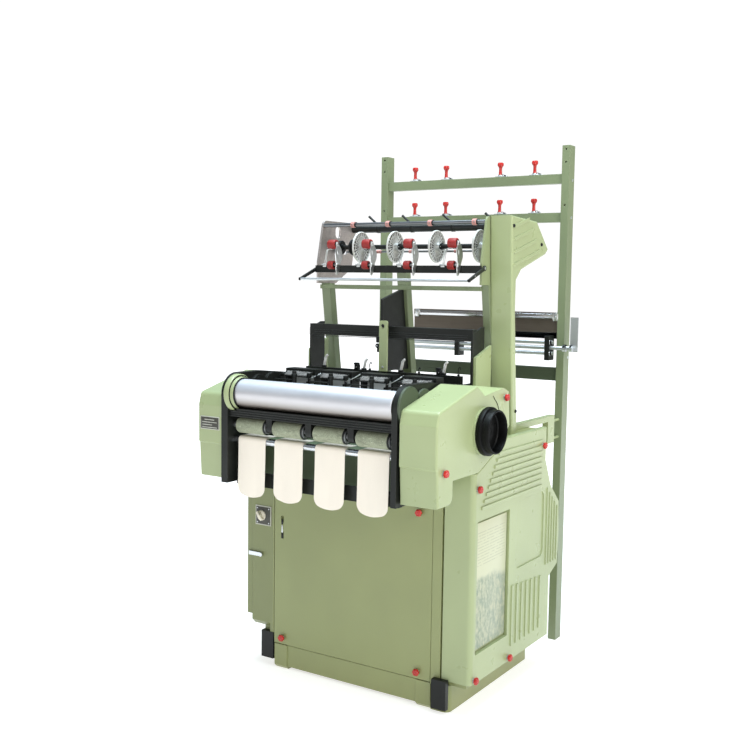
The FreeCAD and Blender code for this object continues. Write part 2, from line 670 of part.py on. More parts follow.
def build_cover_knobs():
    """The red hand screws that hold the covers: one turned shape set at each hole."""
    shape = hand_screw()
    cover_face = right_face - s.rib_height
    places = [
        ("front", -s.panel_knob_left, front, s.panel_knob_low),
        ("front", s.panel_knob_right, front, s.panel_knob_low),
        ("front", s.panel_knob_right, front, s.panel_knob_high),
        ("right", cover_face, front + s.cover_knob_front, s.cover_knob_low),
        ("right", cover_face, front + s.cover_knob_mid, s.cover_knob_low),
        ("right", cover_face, front + s.cover_knob_front, s.cover_knob_high),
        ("right", cover_face, front + s.cover_knob_rear, s.cover_knob_top),
        ("right", right_face, front + s.jaw_knob_setback, s.jaw_knob_height),
        ("right", right_face, front + s.tail_knob_setback, s.tail_knob_height),
        ("left", left_face, front + s.jaw_knob_setback, s.jaw_knob_height),
        ("left", left_face, front + s.tail_knob_setback, s.tail_knob_height),
    ]
    turns = {"front": -90, "right": 0, "left": 180}
    screws = []
    for side, *spot in places:
        screw = document.addObject("Part::Feature", "screw")
        screw.Shape = shape
        turned = FreeCAD.Rotation(FreeCAD.Vector(0, 0, 1), turns[side])
        screw.Placement = FreeCAD.Placement(FreeCAD.Vector(), turned)
        screws.append(put(screw, spot))
    keep(group(*screws), "cover_knobs")


def build_controls():
    box_middle = -s.latch_right + s.latch_gap
    plate = block((s.switch_plate, s.switch_plate_thickness, s.switch_plate),
                  (-s.latch_right - s.switch_plate / 2 + s.switch_offset * 2,
                   front - s.switch_plate_thickness, s.switch_height - s.switch_plate / 2))
    keep(plate, "switch_plate")
    back = front - s.switch_plate_thickness - s.switch_gap
    dial = rod("Y", s.switch_knob, s.switch_knob_length / 2,
               (box_middle, back - s.switch_knob_length / 2, s.switch_height))
    grip = block((s.switch_grip, s.switch_knob_length / 2, 2 * s.switch_knob - 2),
                 (box_middle - s.switch_grip / 2, back - s.switch_knob_length,
                  s.switch_height - s.switch_knob + 1))
    keep(fuse(dial, grip), "switch_knob")
    blade = block((s.latch_length, s.latch_thickness, s.latch_width),
                  (-s.latch_right - s.latch_length, front - s.latch_gap - s.latch_thickness,
                   s.latch_height - s.latch_width / 2))
    pivot = rod("Y", s.latch_width / 2, s.latch_thickness + 3,
                (-s.latch_right, front - s.latch_gap - s.latch_thickness - 3, s.latch_height))
    keep(fuse(blade, pivot), "door_latch")


# ---------------------------------------------------------------- head housings

def housing_outline():
    return [
        (front - s.head_reach, s.brow_height),
        (front - s.head_reach, s.crease_height),
        (front - s.head_reach + s.crease_step, s.crease_height - s.crease_step),
        (front - s.head_reach + s.crease_step + s.jaw_taper, s.jaw_bottom),
        (front - s.head_reach + s.jaw_depth, s.jaw_bottom),
        (front - s.head_reach + s.jaw_depth, s.cabinet_top),
        (front + s.belly_front, s.cabinet_top),
        (front + s.belly_setback, s.belly_height),
        (front + s.heel_setback, s.heel_height),
        (front + s.back_setback, s.back_height),
        (front + s.tail_setback, s.tail_height),
        (front + s.peak_setback, s.peak_height),
        (front - s.head_reach + s.nose_slope, s.nose_height),
    ]


def build_housing(label, inner, outer, low, high):
    body = new_body("housing")
    pad(body, "YZ", low, high - low, lambda sketch: polygon(sketch, housing_outline()))
    jaw = front - s.head_reach + s.jaw_depth
    round_edges(body, s.jaw_corner,
                lambda edge: runs_along(edge, "X") and near(edge, y=jaw, z=s.jaw_bottom))
    brow = front - s.head_reach
    round_edges(body, s.brow_round, lambda edge: runs_along(edge, "X") and (
        near(edge, y=brow, z=s.brow_height) or near(edge, y=brow + s.nose_slope, z=s.nose_height)))
    if label == "right_head_housing":
        dip = body.newObject("PartDesign::SubtractiveLoft", "dip")
        notch = sketch_on(body, "YZ", outer + s.dip_clear)
        polygon(notch, [(front + s.peak_setback, s.peak_height + s.dip_clear),
                        (front + s.dip_setback, s.dip_height),
                        (front + s.tail_setback, s.tail_height + s.dip_clear)])
        sliver = sketch_on(body, "YZ", outer - s.dip_reach)
        polygon(sliver, [(front + s.peak_setback, s.peak_height + s.dip_rise),
                         (front + s.dip_setback + s.dip_shift, s.peak_height),
                         (front + s.tail_setback, s.tail_height + s.dip_clear + s.dip_rise)])
        dip.Profile = notch
        dip.Sections = [sliver]
        body.Tip = dip
    round_edges(body, s.housing_edge,
                lambda edge: near(edge, x=outer) and edge.BoundBox.XLength < 0.01
                and edge.BoundBox.ZMin < number(s.dip_height) - 2)
    if label == "right_head_housing":
        wheel = (front + s.shaft_setback, s.shaft_height)

        def stadium(sketch):
            rectangle(sketch, (wheel[0] - s.boss_stretch, wheel[1] - s.boss_radius),
                      (wheel[0] + s.boss_radius, wheel[1] + s.boss_radius))

        pad(body, "YZ", outer - 1, s.boss_height + 1, stadium)
        round_edges(body, s.boss_radius - 1,
                    lambda edge: runs_along(edge, "X") and edge.BoundBox.XMax > number(outer) + 1
                    and abs(edge.BoundBox.Center.z - number(s.shaft_height))
                    > number(s.boss_radius) / 2)
    bore_start = low - 1 if label == "right_head_housing" else -s.shaft_left_end - 5
    bore_length = high - bore_start + s.boss_height + 2
    pocket(body, "YZ", bore_start, bore_length,
           lambda sketch: circle(sketch, (front + s.shaft_setback, s.shaft_height),
                                 s.shaft_radius + s.running_gap))
    keep(body, label)


def side_plate_outline():
    return [
        (front - s.head_reach - s.plate_proud, s.plate_bottom),
        (front + s.beam_front, s.plate_bottom),
        (front + s.beam_front, s.cabinet_top),
        (front + s.rear_step_setback, s.cabinet_top),
        (front + s.rear_step_setback, s.rear_top),
        (front + s.plate_rear_setback, s.rear_top),
        (front + s.plate_rear_setback, s.plate_shoulder),
        (front + s.plate_shoulder_setback, s.plate_shoulder),
        (front + s.plate_crown_setback, s.plate_crown),
        (front - s.head_reach - s.plate_proud, s.plate_crown),
    ]


def build_side_plate(label, start, thickness):
    """The black plate between a housing and the head, bored for the four cross shafts."""
    body = new_body("side_plate")
    pad(body, "YZ", start, thickness, lambda sketch: polygon(sketch, side_plate_outline()))
    nose = front - s.head_reach - s.plate_proud
    round_edges(body, s.plate_corner,
                lambda edge: runs_along(edge, "X") and near(edge, y=nose, z=s.plate_crown))
    if label == "left_side_plate":
        for setback, radius in ((s.front_hump, s.small_hump), (s.rear_hump, s.hump_radius)):
            pad(body, "YZ", start + thickness - 1, s.hump_width + 1,
                lambda sketch: circle(sketch, (front + setback, s.hump_height), radius))

    def bores(sketch):
        gap = s.running_gap
        circle(sketch, (front + s.shaft_setback, s.shaft_height), s.shaft_radius + gap)
        circle(sketch, (front + s.take_up_setback, take_up_height), s.take_up_shaft + gap)
        circle(sketch, (front + s.take_up_setback, press_rod_height), s.press_rod_radius + gap)
        circle(sketch, (front + s.sley_setback, s.sley_height), s.sley_radius + gap)

    pocket(body, "YZ", start - 1, thickness + s.hump_width + 2, bores)
    keep(body, label)


def build_head_deck():
    body = new_body("deck")
    outline = [
        (front + s.beam_front, s.beam_bottom),
        (front, s.beam_bottom),
        (front, s.cabinet_top),
        (front + s.rear_step_setback, s.cabinet_top),
        (front + s.rear_step_setback, s.deck_top),
        (front + s.beam_front, s.deck_top),
    ]
    pad(body, "YZ", head_left, head_right - head_left,
        lambda sketch: polygon(sketch, outline))
    keep(body, "head_deck")


def build_lower_bar():
    body = new_body("lower_bar")
    face = front + s.lower_bar_front
    wall = s.lower_bar_wall
    angle = [
        (face, s.lower_bar_bottom),
        (face + s.lower_bar_flange, s.lower_bar_bottom),
        (face + s.lower_bar_flange, s.lower_bar_bottom + wall),
        (face + wall, s.lower_bar_bottom + wall),
        (face + wall, s.lower_bar_bottom + s.lower_bar_height),
        (face, s.lower_bar_bottom + s.lower_bar_height),
    ]
    pad(body, "YZ", head_left, head_right - head_left, lambda sketch: polygon(sketch, angle))
    keep(body, "lower_bar")


def build_breast_tube():
    centre = (front + s.tube_setback, s.tube_height)
    start = head_left + s.flange_width + s.ring_width
    outer = rod("X", s.tube_radius, head_right - start, (start, *centre))
    bore = rod("X", s.tube_radius - s.tube_wall, head_right - start, (start, *centre))
    keep(cut(outer, bore), "breast_tube")
    disc = rod("X", s.flange_radius, s.flange_width, (head_left, *centre))
    ring = rod("X", s.ring_radius, s.ring_width, (head_left + s.flange_width, *centre))
    wall = s.right_housing_inner - head_right - s.right_plate_thickness
    side = head_right + s.right_plate_thickness
    first = rod("X", s.flange_radius, wall, (side, front + s.wall_disc, s.tube_height))
    second = rod("X", s.hump_radius, wall, (side, front + s.wall_hump, s.tube_height))
    keep(group(fuse(disc, ring), fuse(first, second)), "tube_flanges")


def build_grooved_bar():
    """The breast bar: grooved along its face, with the hangers of the take-up shaft."""
    body = new_body("breast_bar")
    face = front + s.breast_front
    pad(body, "YZ", head_left, head_right - head_left,
        lambda sketch: rectangle(sketch, (face, breast_bottom),
                                 (face + s.breast_depth, breast_bottom + s.breast_height)))

    def grooves(sketch):
        for index in range(SIZES["groove_count"]):
            low = breast_bottom + s.groove_start + index * s.groove_pitch
            rectangle(sketch, (face - 1, low), (face + s.groove_depth, low + s.groove_width))

    pocket(body, "YZ", head_left, head_right - head_left, grooves)
    middles = [(left + right) / 2 for left, right in zip(lanes, lanes[1:])]
    shaft = (front + s.take_up_setback, take_up_height)
    for middle in middles:
        start = middle - s.bracket_width / 2
        half = s.bracket_depth / 2
        pad(body, "YZ", start, s.bracket_width,
            lambda sketch: rectangle(sketch, (shaft[0] - half, shaft[1]),
                                     (shaft[0] + half, breast_bottom + 1)))
        pad(body, "YZ", start, s.bracket_width, lambda sketch: circle(sketch, shaft, half))
    pocket(body, "YZ", lanes[0], lanes[3] - lanes[0],
           lambda sketch: circle(sketch, shaft, s.take_up_shaft + s.bracket_gap))
    pocket(body, "YZ", head_left, s.flange_width + s.ring_width,
           lambda sketch: circle(sketch, (front + s.tube_setback, s.tube_height),
                                 s.flange_radius + s.bracket_gap))
    keep(body, "grooved_bar")


# ---------------------------------------------------------------- take-up, tapes and drive

def build_take_up():
    body = new_body("take_up")
    start = head_left - s.journal_length
    pad(body, "YZ", start, head_right - head_left + 2 * s.journal_length,
        lambda sketch: circle(sketch, (front + s.take_up_setback, take_up_height),
                              s.take_up_shaft))
    for lane in lanes:
        pad(body, "YZ", lane - s.roller_length / 2, s.roller_length,
            lambda sketch: circle(sketch, (front + s.take_up_setback, take_up_height),
                                  s.roller_radius))
    keep(body, "take_up_roller")
    press = rod("X", s.press_rod_radius, head_right - head_left + 2 * s.journal_length,
                (start, front + s.take_up_setback, press_rod_height))
    keep(press, "press_rod")


def build_tape(lane):
    """One woven tape: over the press rod and down to its cut, rounded end."""
    body = new_body("tape")
    inner = s.press_rod_radius + s.tape_gap
    outer = inner + s.tape_thickness
    centre = front + s.take_up_setback
    outline = [
        (centre - outer, s.tape_end),
        (centre - inner, s.tape_end),
        (centre - inner, press_rod_height + inner),
        (centre + s.tape_tail, press_rod_height + inner),
        (centre + s.tape_tail, press_rod_height + outer),
        (centre - outer, press_rod_height + outer),
    ]
    pad(body, "YZ", lane - s.tape_width / 2, s.tape_width,
        lambda sketch: polygon(sketch, outline))
    round_edges(body, inner, lambda edge: runs_along(edge, "X") and near(
        edge, y=centre - inner, z=press_rod_height + inner))
    round_edges(body, outer, lambda edge: runs_along(edge, "X") and near(
        edge, y=centre - outer, z=press_rod_height + outer))
    round_edges(body, s.tape_corner,
                lambda edge: runs_along(edge, "Y") and near(edge, z=s.tape_end))
    return body


def build_main_shaft():
    wheel_back = right_face + s.boss_height + s.wheel_gap
    centre = (front + s.shaft_setback, s.shaft_height)
    shaft = rod("X", s.shaft_radius, wheel_back + s.wheel_web + s.shaft_left_end,
                (-s.shaft_left_end, *centre))
    keep(shaft, "main_shaft")
    wheel = new_body("wheel")
    turn(wheel, [
        (0, s.shaft_radius + s.running_gap),
        (0, s.wheel_back - 3),
        (3, s.wheel_back),
        (s.wheel_back_width, s.wheel_back),
        (s.wheel_back_width + 2, s.wheel_rim),
        (s.wheel_width - 2, s.wheel_rim),
        (s.wheel_width, s.wheel_rim - 2),
        (s.wheel_width, s.wheel_rim - s.wheel_wall),
        (s.wheel_web, s.wheel_rim - s.wheel_wall - 2),
        (s.wheel_web, s.shaft_radius + s.running_gap),
    ])
    put(wheel, (wheel_back, *centre))
    keep(wheel, "handwheel")


def build_sley():
    """Rocking shaft with one arm and one open reed frame for each lane."""
    body = new_body("sley")
    pivot = (front + s.sley_setback, s.sley_height)
    pad(body, "YZ", head_left - s.journal_length, head_right - head_left + 2 * s.journal_length,
        lambda sketch: circle(sketch, pivot, s.sley_radius))
    low = front + s.sley_frame_front
    high = low + s.sley_frame_depth
    side = s.sley_frame_side
    top = s.sley_frame_bottom + s.sley_frame_height
    arm = [
        (pivot[0] - s.sley_arm_depth / 2, pivot[1]),
        (pivot[0] + s.sley_arm_depth / 2, pivot[1]),
        (high, s.sley_frame_bottom + 1),
        (high - s.sley_arm_depth, s.sley_frame_bottom + 1),
    ]
    half = s.sley_frame_width / 2
    for lane in [lane + s.sley_offset for lane in lanes]:
        pad(body, "YZ", lane - s.sley_arm_width / 2, s.sley_arm_width,
            lambda sketch: polygon(sketch, arm))
        pad(body, "YZ", lane - half, s.sley_frame_width,
            lambda sketch: rectangle(sketch, (low, s.sley_frame_bottom), (high, top)))
        pocket(body, "XZ", low - 1, s.sley_frame_depth + 2,
               lambda sketch: rectangle(sketch, (lane - half + side, s.sley_frame_bottom + side),
                                        (lane + half - side, top - s.sley_frame_top)))
    keep(body, "sley")


def reed_shape():
    """One reed: a thin plate of upright wires between two rails."""
    body = new_body("reed")
    width = s.sley_frame_width - 2 * s.sley_frame_side
    height = s.sley_frame_height - s.sley_frame_side - s.sley_frame_top
    pad(body, "XZ", 0, s.reed_thickness,
        lambda sketch: rectangle(sketch, (-width / 2, 0), (width / 2, height)))
    run = s.reed_pitch * (SIZES["reed_gap_count"] - 1)
    first = pocket(body, "XZ", -1, s.reed_thickness + 2,
                   lambda sketch: rectangle(sketch, (-run / 2 - s.reed_gap / 2, s.reed_rail),
                                            (-run / 2 + s.reed_gap / 2, height - s.reed_rail)))
    wires = body.newObject("PartDesign::LinearPattern", "wires")
    wires.Originals = [first]
    wires.Direction = (origin_of(body, "X_Axis"), [""])
    wires.Occurrences = SIZES["reed_gap_count"]
    bind(wires, "Length", run)
    body.Tip = wires
    return body


def build_reeds():
    pattern = reed_shape()
    spots = [(lane + s.sley_offset, front + s.reed_setback,
              s.sley_frame_bottom + s.sley_frame_side) for lane in lanes]
    put(pattern, (0, 0, 0))
    keep(group(*[copy_at(pattern, spot) for spot in spots]), "reeds")


def build_needle(index, lane):
    """A weft needle on its upright spindle."""
    spot = (lane + s.needle_offset, front + s.needle_setback)
    foot = s.deck_top + s.switch_gap
    post = rod("Z", s.needle_post, s.needle_post_top - foot, (*spot, foot))
    cap = rod("Z", s.needle_cap_radius, s.needle_cap_height,
              (*spot, s.needle_post_top - 2 * s.needle_cap_height))
    blade = block((s.needle_length, s.needle_width, s.needle_thickness),
                  (spot[0] - s.needle_length, spot[1] - s.needle_width / 2, s.needle_height))
    keep(fuse(post, cap, blade), "weft_needle_%d" % index)


# ---------------------------------------------------------------- harness guide and uprights

def build_rail():
    rail = block((head_right - head_left, s.rail_depth, s.rail_top - s.rail_bottom),
                 (head_left, front + s.rail_front, s.rail_bottom))
    keep(rail, "lever_rail")
    levers = []
    for lane in [lane + s.lever_offset for lane in feed_lanes]:
        foot = block((s.lever_foot, s.rail_depth - 3, s.lever_foot_height),
                     (lane - s.lever_foot / 2, front + s.rail_front, s.rail_top))
        body = new_body("lever")
        low = front + s.rail_front
        top = s.rail_top + s.lever_height
        pad(body, "YZ", lane - s.lever_width / 2, s.lever_width, lambda sketch: polygon(sketch, [
            (low, s.rail_top + 1),
            (low + s.lever_depth, s.rail_top + 1),
            (low + 2 * s.lever_depth, top),
            (low + s.lever_depth + 4, top),
        ]))
        levers.append(fuse(foot, body))
    keep(group(*levers), "stop_levers")


def build_harness():
    body = new_body("harness")
    left = -s.harness_left
    right = s.harness_right
    near_side = front + s.harness_front
    bevel = s.harness_end_bevel
    ends = [
        (near_side, s.plate_shoulder),
        (near_side + s.harness_end_depth, s.plate_shoulder),
        (near_side + s.harness_end_depth, s.harness_end_top),
        (near_side + s.harness_end_slope, s.harness_end_top),
        (near_side, s.harness_end_top - bevel),
    ]
    for start in (left, right - s.end_plate_thickness):
        pad(body, "YZ", start, s.end_plate_thickness, lambda sketch: polygon(sketch, ends))
    top = s.harness_bottom + s.harness_height
    pad(body, "YZ", left + 1, right - left - 2, lambda sketch: rectangle(
        sketch, (near_side, s.harness_bottom), (near_side + s.harness_depth, top)))
    keep(body, "harness_frame")


def build_gussets():
    """Plates beside the ends of the harness bar: on the left side plate and the right housing."""
    slope = (s.tail_height - s.back_height) / (s.back_setback - s.tail_setback)
    landing = s.tail_height - (s.gusset_front - s.tail_setback) * slope
    left_foot = [(front + s.gusset_front, s.plate_shoulder), (front + s.gusset_rear, s.plate_shoulder)]
    right_foot = [(front + s.gusset_front, landing), (front + s.back_setback, s.back_height),
                  (front + s.gusset_rear, s.back_height)]
    halves = []
    for start, foot in ((-s.harness_left - s.gusset_thickness, left_foot),
                        (s.harness_right, right_foot)):
        outline = foot + [(front + s.gusset_rear, s.gusset_high),
                          (front + s.gusset_front, s.gusset_low)]
        body = new_body("gusset")
        pad(body, "YZ", start, s.gusset_thickness, lambda sketch: polygon(sketch, outline))
        halves.append(body)
    keep(group(*halves), "gussets")


def upright_setback(height):
    """Front face of the leaning uprights at a height."""
    share = (s.upright_top - height) / (s.upright_top - s.rear_top)
    return front + s.upright_top_setback + s.upright_lean * share


def build_uprights():
    """Three leaning posts and the tie across them, welded together."""
    body = new_body("uprights")
    half = s.upright_width / 2
    right = s.side_upright - half
    posts = (
        (-s.side_upright - half, s.upright_width, s.upright_top),
        (-half, s.upright_width, s.centre_upright_top),
        (right, s.right_upright_width, s.upright_top),
    )
    for start, width, top in posts:
        outline = [
            (upright_setback(s.rear_top), s.rear_top),
            (upright_setback(s.rear_top) + s.upright_depth, s.rear_top),
            (upright_setback(top) + s.upright_depth, top),
            (upright_setback(top), top),
        ]
        pad(body, "YZ", start, width, lambda sketch: polygon(sketch, outline))
    face = upright_setback(s.tie_height)
    left = -s.side_upright - half
    pad(body, "YZ", left, right - left + 1, lambda sketch: rectangle(
        sketch, (face - s.tie_depth, s.tie_height), (face + 2, s.tie_height + s.tie_section)))
    keep(body, "upright_frame")


def build_centre_plate():
    body = new_body("centre_plate")
    near_side = front + s.centre_plate_front
    gap = s.latch_gap
    bar_rear = front + s.harness_front + s.harness_depth + gap
    bar_top = s.harness_bottom + s.harness_height + gap
    outline = [
        (near_side, s.rail_top),
        (upright_setback(s.rail_top), s.rail_top),
        (upright_setback(s.tie_height) - gap, s.tie_height),
        (upright_setback(s.tie_height) - s.tie_depth - gap, s.tie_height),
        (near_side, s.centre_plate_top - s.centre_plate_bevel),
        (near_side, bar_top),
        (bar_rear, bar_top),
        (bar_rear, s.harness_bottom - gap),
        (near_side, s.harness_bottom - gap),
    ]
    pad(body, "YZ", -s.centre_plate_thickness / 2, s.centre_plate_thickness,
        lambda sketch: polygon(sketch, outline))
    keep(body, "centre_plate")
    strap = new_body("strap")
    pad(strap, "XZ", near_side - s.strap_thickness, s.strap_thickness,
        lambda sketch: rectangle(sketch, (s.strap_offset - s.strap_width / 2, s.strap_bottom),
                                 (s.strap_offset + s.strap_width / 2, s.strap_top)))
    round_edges(strap, s.strap_width / 4,
                lambda edge: runs_along(edge, "Y") and near(edge, z=s.strap_top))
    pocket(strap, "XZ", near_side - s.strap_thickness - 1, s.strap_thickness + 2,
           lambda sketch: circle(sketch, (s.strap_offset, s.strap_top - s.strap_width / 2 - 6),
                                 s.strap_width / 7))
    keep(strap, "centre_strap")


def build_column():
    """The cast column on the right that carries the drive up to the feeder."""
    body = new_body("column")
    outline = [
        (front + s.column_top_front, s.column_top),
        (front + s.column_crown_setback, s.column_crown_height),
        (front + s.column_nose_setback, s.column_nose_height),
        (front + s.column_tip_setback, s.column_tip_height),
        (front + s.column_chin_setback, s.column_chin_height),
        (front + s.column_back_setback + s.column_taper, s.column_throat_height),
        (front + s.column_back_setback, s.column_back_height),
        (front + s.column_foot_setback + s.column_foot_depth, s.rear_top),
        (front + s.column_foot_setback, s.rear_top),
        (front + s.column_knee_setback, s.column_knee),
    ]
    pad(body, "YZ", s.column_left, s.column_right - s.column_left,
        lambda sketch: polygon(sketch, outline))
    round_edges(body, s.column_edge,
                lambda edge: near(edge, x=s.column_right) and edge.BoundBox.XLength < 0.01
                and edge.BoundBox.ZMax > number(s.rear_top) + 1)

    def ribs(sketch):
        for index in range(SIZES["emboss_count"]):
            low = s.emboss_low + index * s.emboss_pitch
            start = front + s.emboss_start
            length = s.emboss_length - index * s.emboss_shrink
            rise = s.emboss_slope * length
            polygon(sketch, [(start, low), (start + length, low + rise),
                             (start + length, low + rise + s.emboss_width),
                             (start, low + s.emboss_width)])

    pad(body, "YZ", s.column_right, s.emboss_height, ribs)
    keep(body, "column_cover")


# ---------------------------------------------------------------- yarn feeder

def feeder_plate(start):
    body = new_body("feeder_plate")
    low = front + s.feeder_plate_front
    outline = [
        (low, s.feeder_plate_bottom),
        (low + 2 * s.feeder_plate_lean + s.feeder_plate_foot, s.feeder_plate_bottom),
        (front + s.feeder_plate_rear - s.feeder_plate_lean,
         s.feeder_plate_shelf - s.feeder_plate_drop),
        (front + s.feeder_plate_rear, s.feeder_plate_top),
        (low + s.feeder_plate_lean, s.feeder_plate_top),
        (low, s.feeder_plate_shelf),
    ]
    pad(body, "YZ", start, s.feeder_plate_thickness, lambda sketch: polygon(sketch, outline))
    round_edges(body, s.feeder_plate_corner,
                lambda edge: runs_along(edge, "X") and near(edge, z=s.feeder_plate_top))

    def openings(sketch):
        for middle, height in ((s.upper_slot_setback, s.upper_slot_height),
                               (s.lower_slot_setback, s.lower_slot_height)):
            half = s.slot_width / 2
            rectangle(sketch, (front + middle - half, height - s.slot_length / 2),
                      (front + middle + half, height + s.slot_length / 2))
        circle(sketch, (front + s.feed_setback, s.feed_height),
               s.feed_shaft_radius + s.running_gap)
        circle(sketch, (front + s.bail_setback, s.bail_height), s.bail_pin + s.running_gap)

    pocket(body, "YZ", start - 1, s.feeder_plate_thickness + 2, openings)
    round_edges(body, s.slot_width / 2 - 1,
                lambda edge: runs_along(edge, "X") and any(
                    abs(abs(edge.BoundBox.Center.y - number(front + middle))
                        - number(s.slot_width) / 2) < 0.5
                    and abs(abs(edge.BoundBox.Center.z - number(height))
                            - number(s.slot_length) / 2) < 0.5
                    for middle, height in ((s.upper_slot_setback, s.upper_slot_height),
                                           (s.lower_slot_setback, s.lower_slot_height))))
    return body


def build_feeder_frame():
    span = 2 * s.feeder_half_span
    left = -s.feeder_half_span
    outer = s.feeder_half_span + s.feeder_plate_thickness
    plates = group(feeder_plate(left - s.feeder_plate_thickness), feeder_plate(s.feeder_half_span))
    keep(plates, "feeder_plates")
    centre = (front + s.feeder_tube_setback, s.feeder_tube_height)
    pieces = [rod("X", s.feeder_tube_radius, span, (left, *centre))]
    for lane in feed_lanes:
        finger = new_body("finger")
        foot = lane + s.finger_offset
        low = centre[1] + s.feeder_tube_radius - 3
        pad(finger, "XZ", centre[0] - s.finger_section / 2, s.finger_section,
            lambda sketch: polygon(sketch, [
                (foot, low),
                (foot + s.finger_section, low),
                (foot + s.finger_section - s.finger_lean, low + s.finger_rise),
                (foot - s.finger_lean, low + s.finger_rise),
            ]))
        pieces.append(finger)
    keep(fuse(*pieces), "feeder_tube")
    bar = block((2 * outer, s.feeder_bar_depth, s.feeder_bar_height),
                (-outer, front + s.feeder_bar_front, s.feeder_bar_bottom))
    keep(bar, "feeder_bar")
    guide = rod("X", s.guide_rod_radius, span,
                (left, front + s.guide_rod_setback, s.guide_rod_height))
    section = s.top_rail_section
    pieces = [block((span, section, section), (left, front + s.top_rail_front, s.top_rail_bottom))]
    extra = (s.collar_size - section) / 2
    for lane in feed_lanes:
        pieces.append(block((s.collar_width, s.collar_size, s.collar_size),
                            (lane + s.collar_offset, front + s.top_rail_front - extra,
                             s.top_rail_bottom - extra)))
    keep(group(guide, fuse(*pieces)), "guide_rails")


def feed_disc():
    """A spoked feed disc: hub, spokes and rim about the X axis."""
    body = new_body("disc")
    half = s.disc_width / 2
    hub = s.disc_hub_width / 2
    turn(body, [(-half, s.feed_shaft_radius + s.running_gap), (-half, s.disc_hub),
                (hub, s.disc_hub - 3), (hub, s.feed_shaft_radius + s.running_gap)])
    turn(body, [(-half, s.disc_radius - s.disc_rim), (-half, s.disc_radius),
                (half, s.disc_radius), (half, s.disc_radius - s.disc_rim)])
    spoke = pad(body, "YZ", -s.spoke_thickness / 2, s.spoke_thickness, lambda sketch: rectangle(
        sketch, (s.disc_hub - 3, -s.spoke_width / 2),
        (s.disc_radius - s.disc_rim + 1, s.spoke_width / 2)))
    ring = body.newObject("PartDesign::PolarPattern", "spokes")
    ring.Originals = [spoke]
    ring.Axis = (origin_of(body, "X_Axis"), [""])
    ring.Angle = 360
    ring.Occurrences = SIZES["spoke_count"]
    body.Tip = ring
    return body


def build_feed_shaft():
    reach = s.feeder_half_span + s.feeder_plate_thickness
    spot = (front + s.feed_setback, s.feed_height)
    keep(rod("X", s.feed_shaft_radius, 2 * reach, (-reach, *spot)), "feed_shaft")
    disc = put(feed_disc(), (0, 0, 0))
    discs = [copy_at(disc, (lane, *spot)) for lane in feed_lanes]
    keep(group(*discs), "feed_discs")


def press_arm(lane):
    """A curved arm on the feeder bar, with the two pins that its rollers turn on."""
    body = new_body("arm")
    start = lane + s.press_offset + s.press_length / 2 + s.arm_gap
    upper = (front + s.press_setback, s.press_height)
    lower = (front + s.press_setback, s.lower_press_height)
    half = s.arm_width / 2
    rear = front + s.feeder_bar_front
    pad(body, "YZ", start, s.arm_thickness, lambda sketch: polygon(sketch, [
        (upper[0] - half, upper[1] + half),
        (upper[0] + half, upper[1] + half),
        (rear, upper[1] - 2 * half),
        (rear, s.feeder_bar_bottom),
        (rear - half, s.arm_tail),
        (lower[0] - half, lower[1] - half),
        (lower[0] - half, lower[1] + half),
        (rear - 2 * half, lower[1] + 3 * half),
        (rear - 2 * half, upper[1] - 3 * half),
        (upper[0] - half, upper[1] - half),
    ]))
    low = start - s.press_length - 2 * s.arm_gap
    pad(body, "YZ", low, start - low + 1, lambda sketch: circle(sketch, upper, s.press_pin))
    pad(body, "YZ", low - s.press_head_width, s.press_head_width,
        lambda sketch: circle(sketch, upper, s.press_head))
    lower_start = start - s.lower_press_length - s.lower_press_shift
    pad(body, "YZ", lower_start, start - lower_start + 1,
        lambda sketch: circle(sketch, lower, s.press_pin))
    return body


def build_press_rollers():
    arms = []
    lowers = []
    for index, lane in enumerate(feed_lanes, start=1):
        arms.append(press_arm(lane))
        arm_start = lane + s.press_offset + s.press_length / 2 + s.arm_gap
        spot = (front + s.press_setback, s.press_height)
        start = arm_start - s.arm_gap - s.press_length
        outer = rod("X", s.press_radius, s.press_length, (start, *spot))
        bore = rod("X", s.press_pin + s.running_gap, s.press_length, (start, *spot))
        keep(cut(outer, bore), "press_roller_%d" % index)
        low_spot = (front + s.press_setback, s.lower_press_height)
        low_start = arm_start - s.lower_press_shift - s.lower_press_length
        sleeve = rod("X", s.lower_press_radius, s.lower_press_length, (low_start, *low_spot))
        hole = rod("X", s.press_pin + s.running_gap, s.lower_press_length, (low_start, *low_spot))
        lowers.append(cut(sleeve, hole))
    keep(group(*arms), "feeder_arms")
    keep(group(*lowers), "lower_rollers")


def build_bail():
    """The swinging bail: two arms on pins in the end plates, and the rod between them."""
    body = new_body("bail")
    pivot = (front + s.bail_setback, s.bail_height)
    tip = (pivot[0] - s.bail_reach, pivot[1] - s.bail_drop)
    half = s.bail_arm_width / 2
    inner = s.feeder_half_span + s.feeder_plate_thickness + s.bail_gap
    arm = [
        (pivot[0] + half, pivot[1]),
        (pivot[0] - half / 2, pivot[1] + half),
        (tip[0] - half, tip[1] + half / 2),
        (tip[0] - half / 2, tip[1] - half),
        (tip[0] + half, tip[1] - half / 2),
        (pivot[0] + half / 2, pivot[1] - half),
    ]
    pad(body, "YZ", -inner - 1, 2 * inner + 2,
        lambda sketch: circle(sketch, tip, s.bail_rod_radius))
    pin = s.bail_gap + s.feeder_plate_thickness
    for start, pin_start in ((-inner - s.bail_arm_thickness, -inner - 1), (inner, inner - pin)):
        pad(body, "YZ", start, s.bail_arm_thickness, lambda sketch: polygon(sketch, arm))
        pad(body, "YZ", start, s.bail_arm_thickness,
            lambda sketch: circle(sketch, pivot, s.bail_boss))
        pad(body, "YZ", pin_start, pin + 1, lambda sketch: circle(sketch, pivot, s.bail_pin))
    keep(body, "bail")


# ---------------------------------------------------------------- creel stand

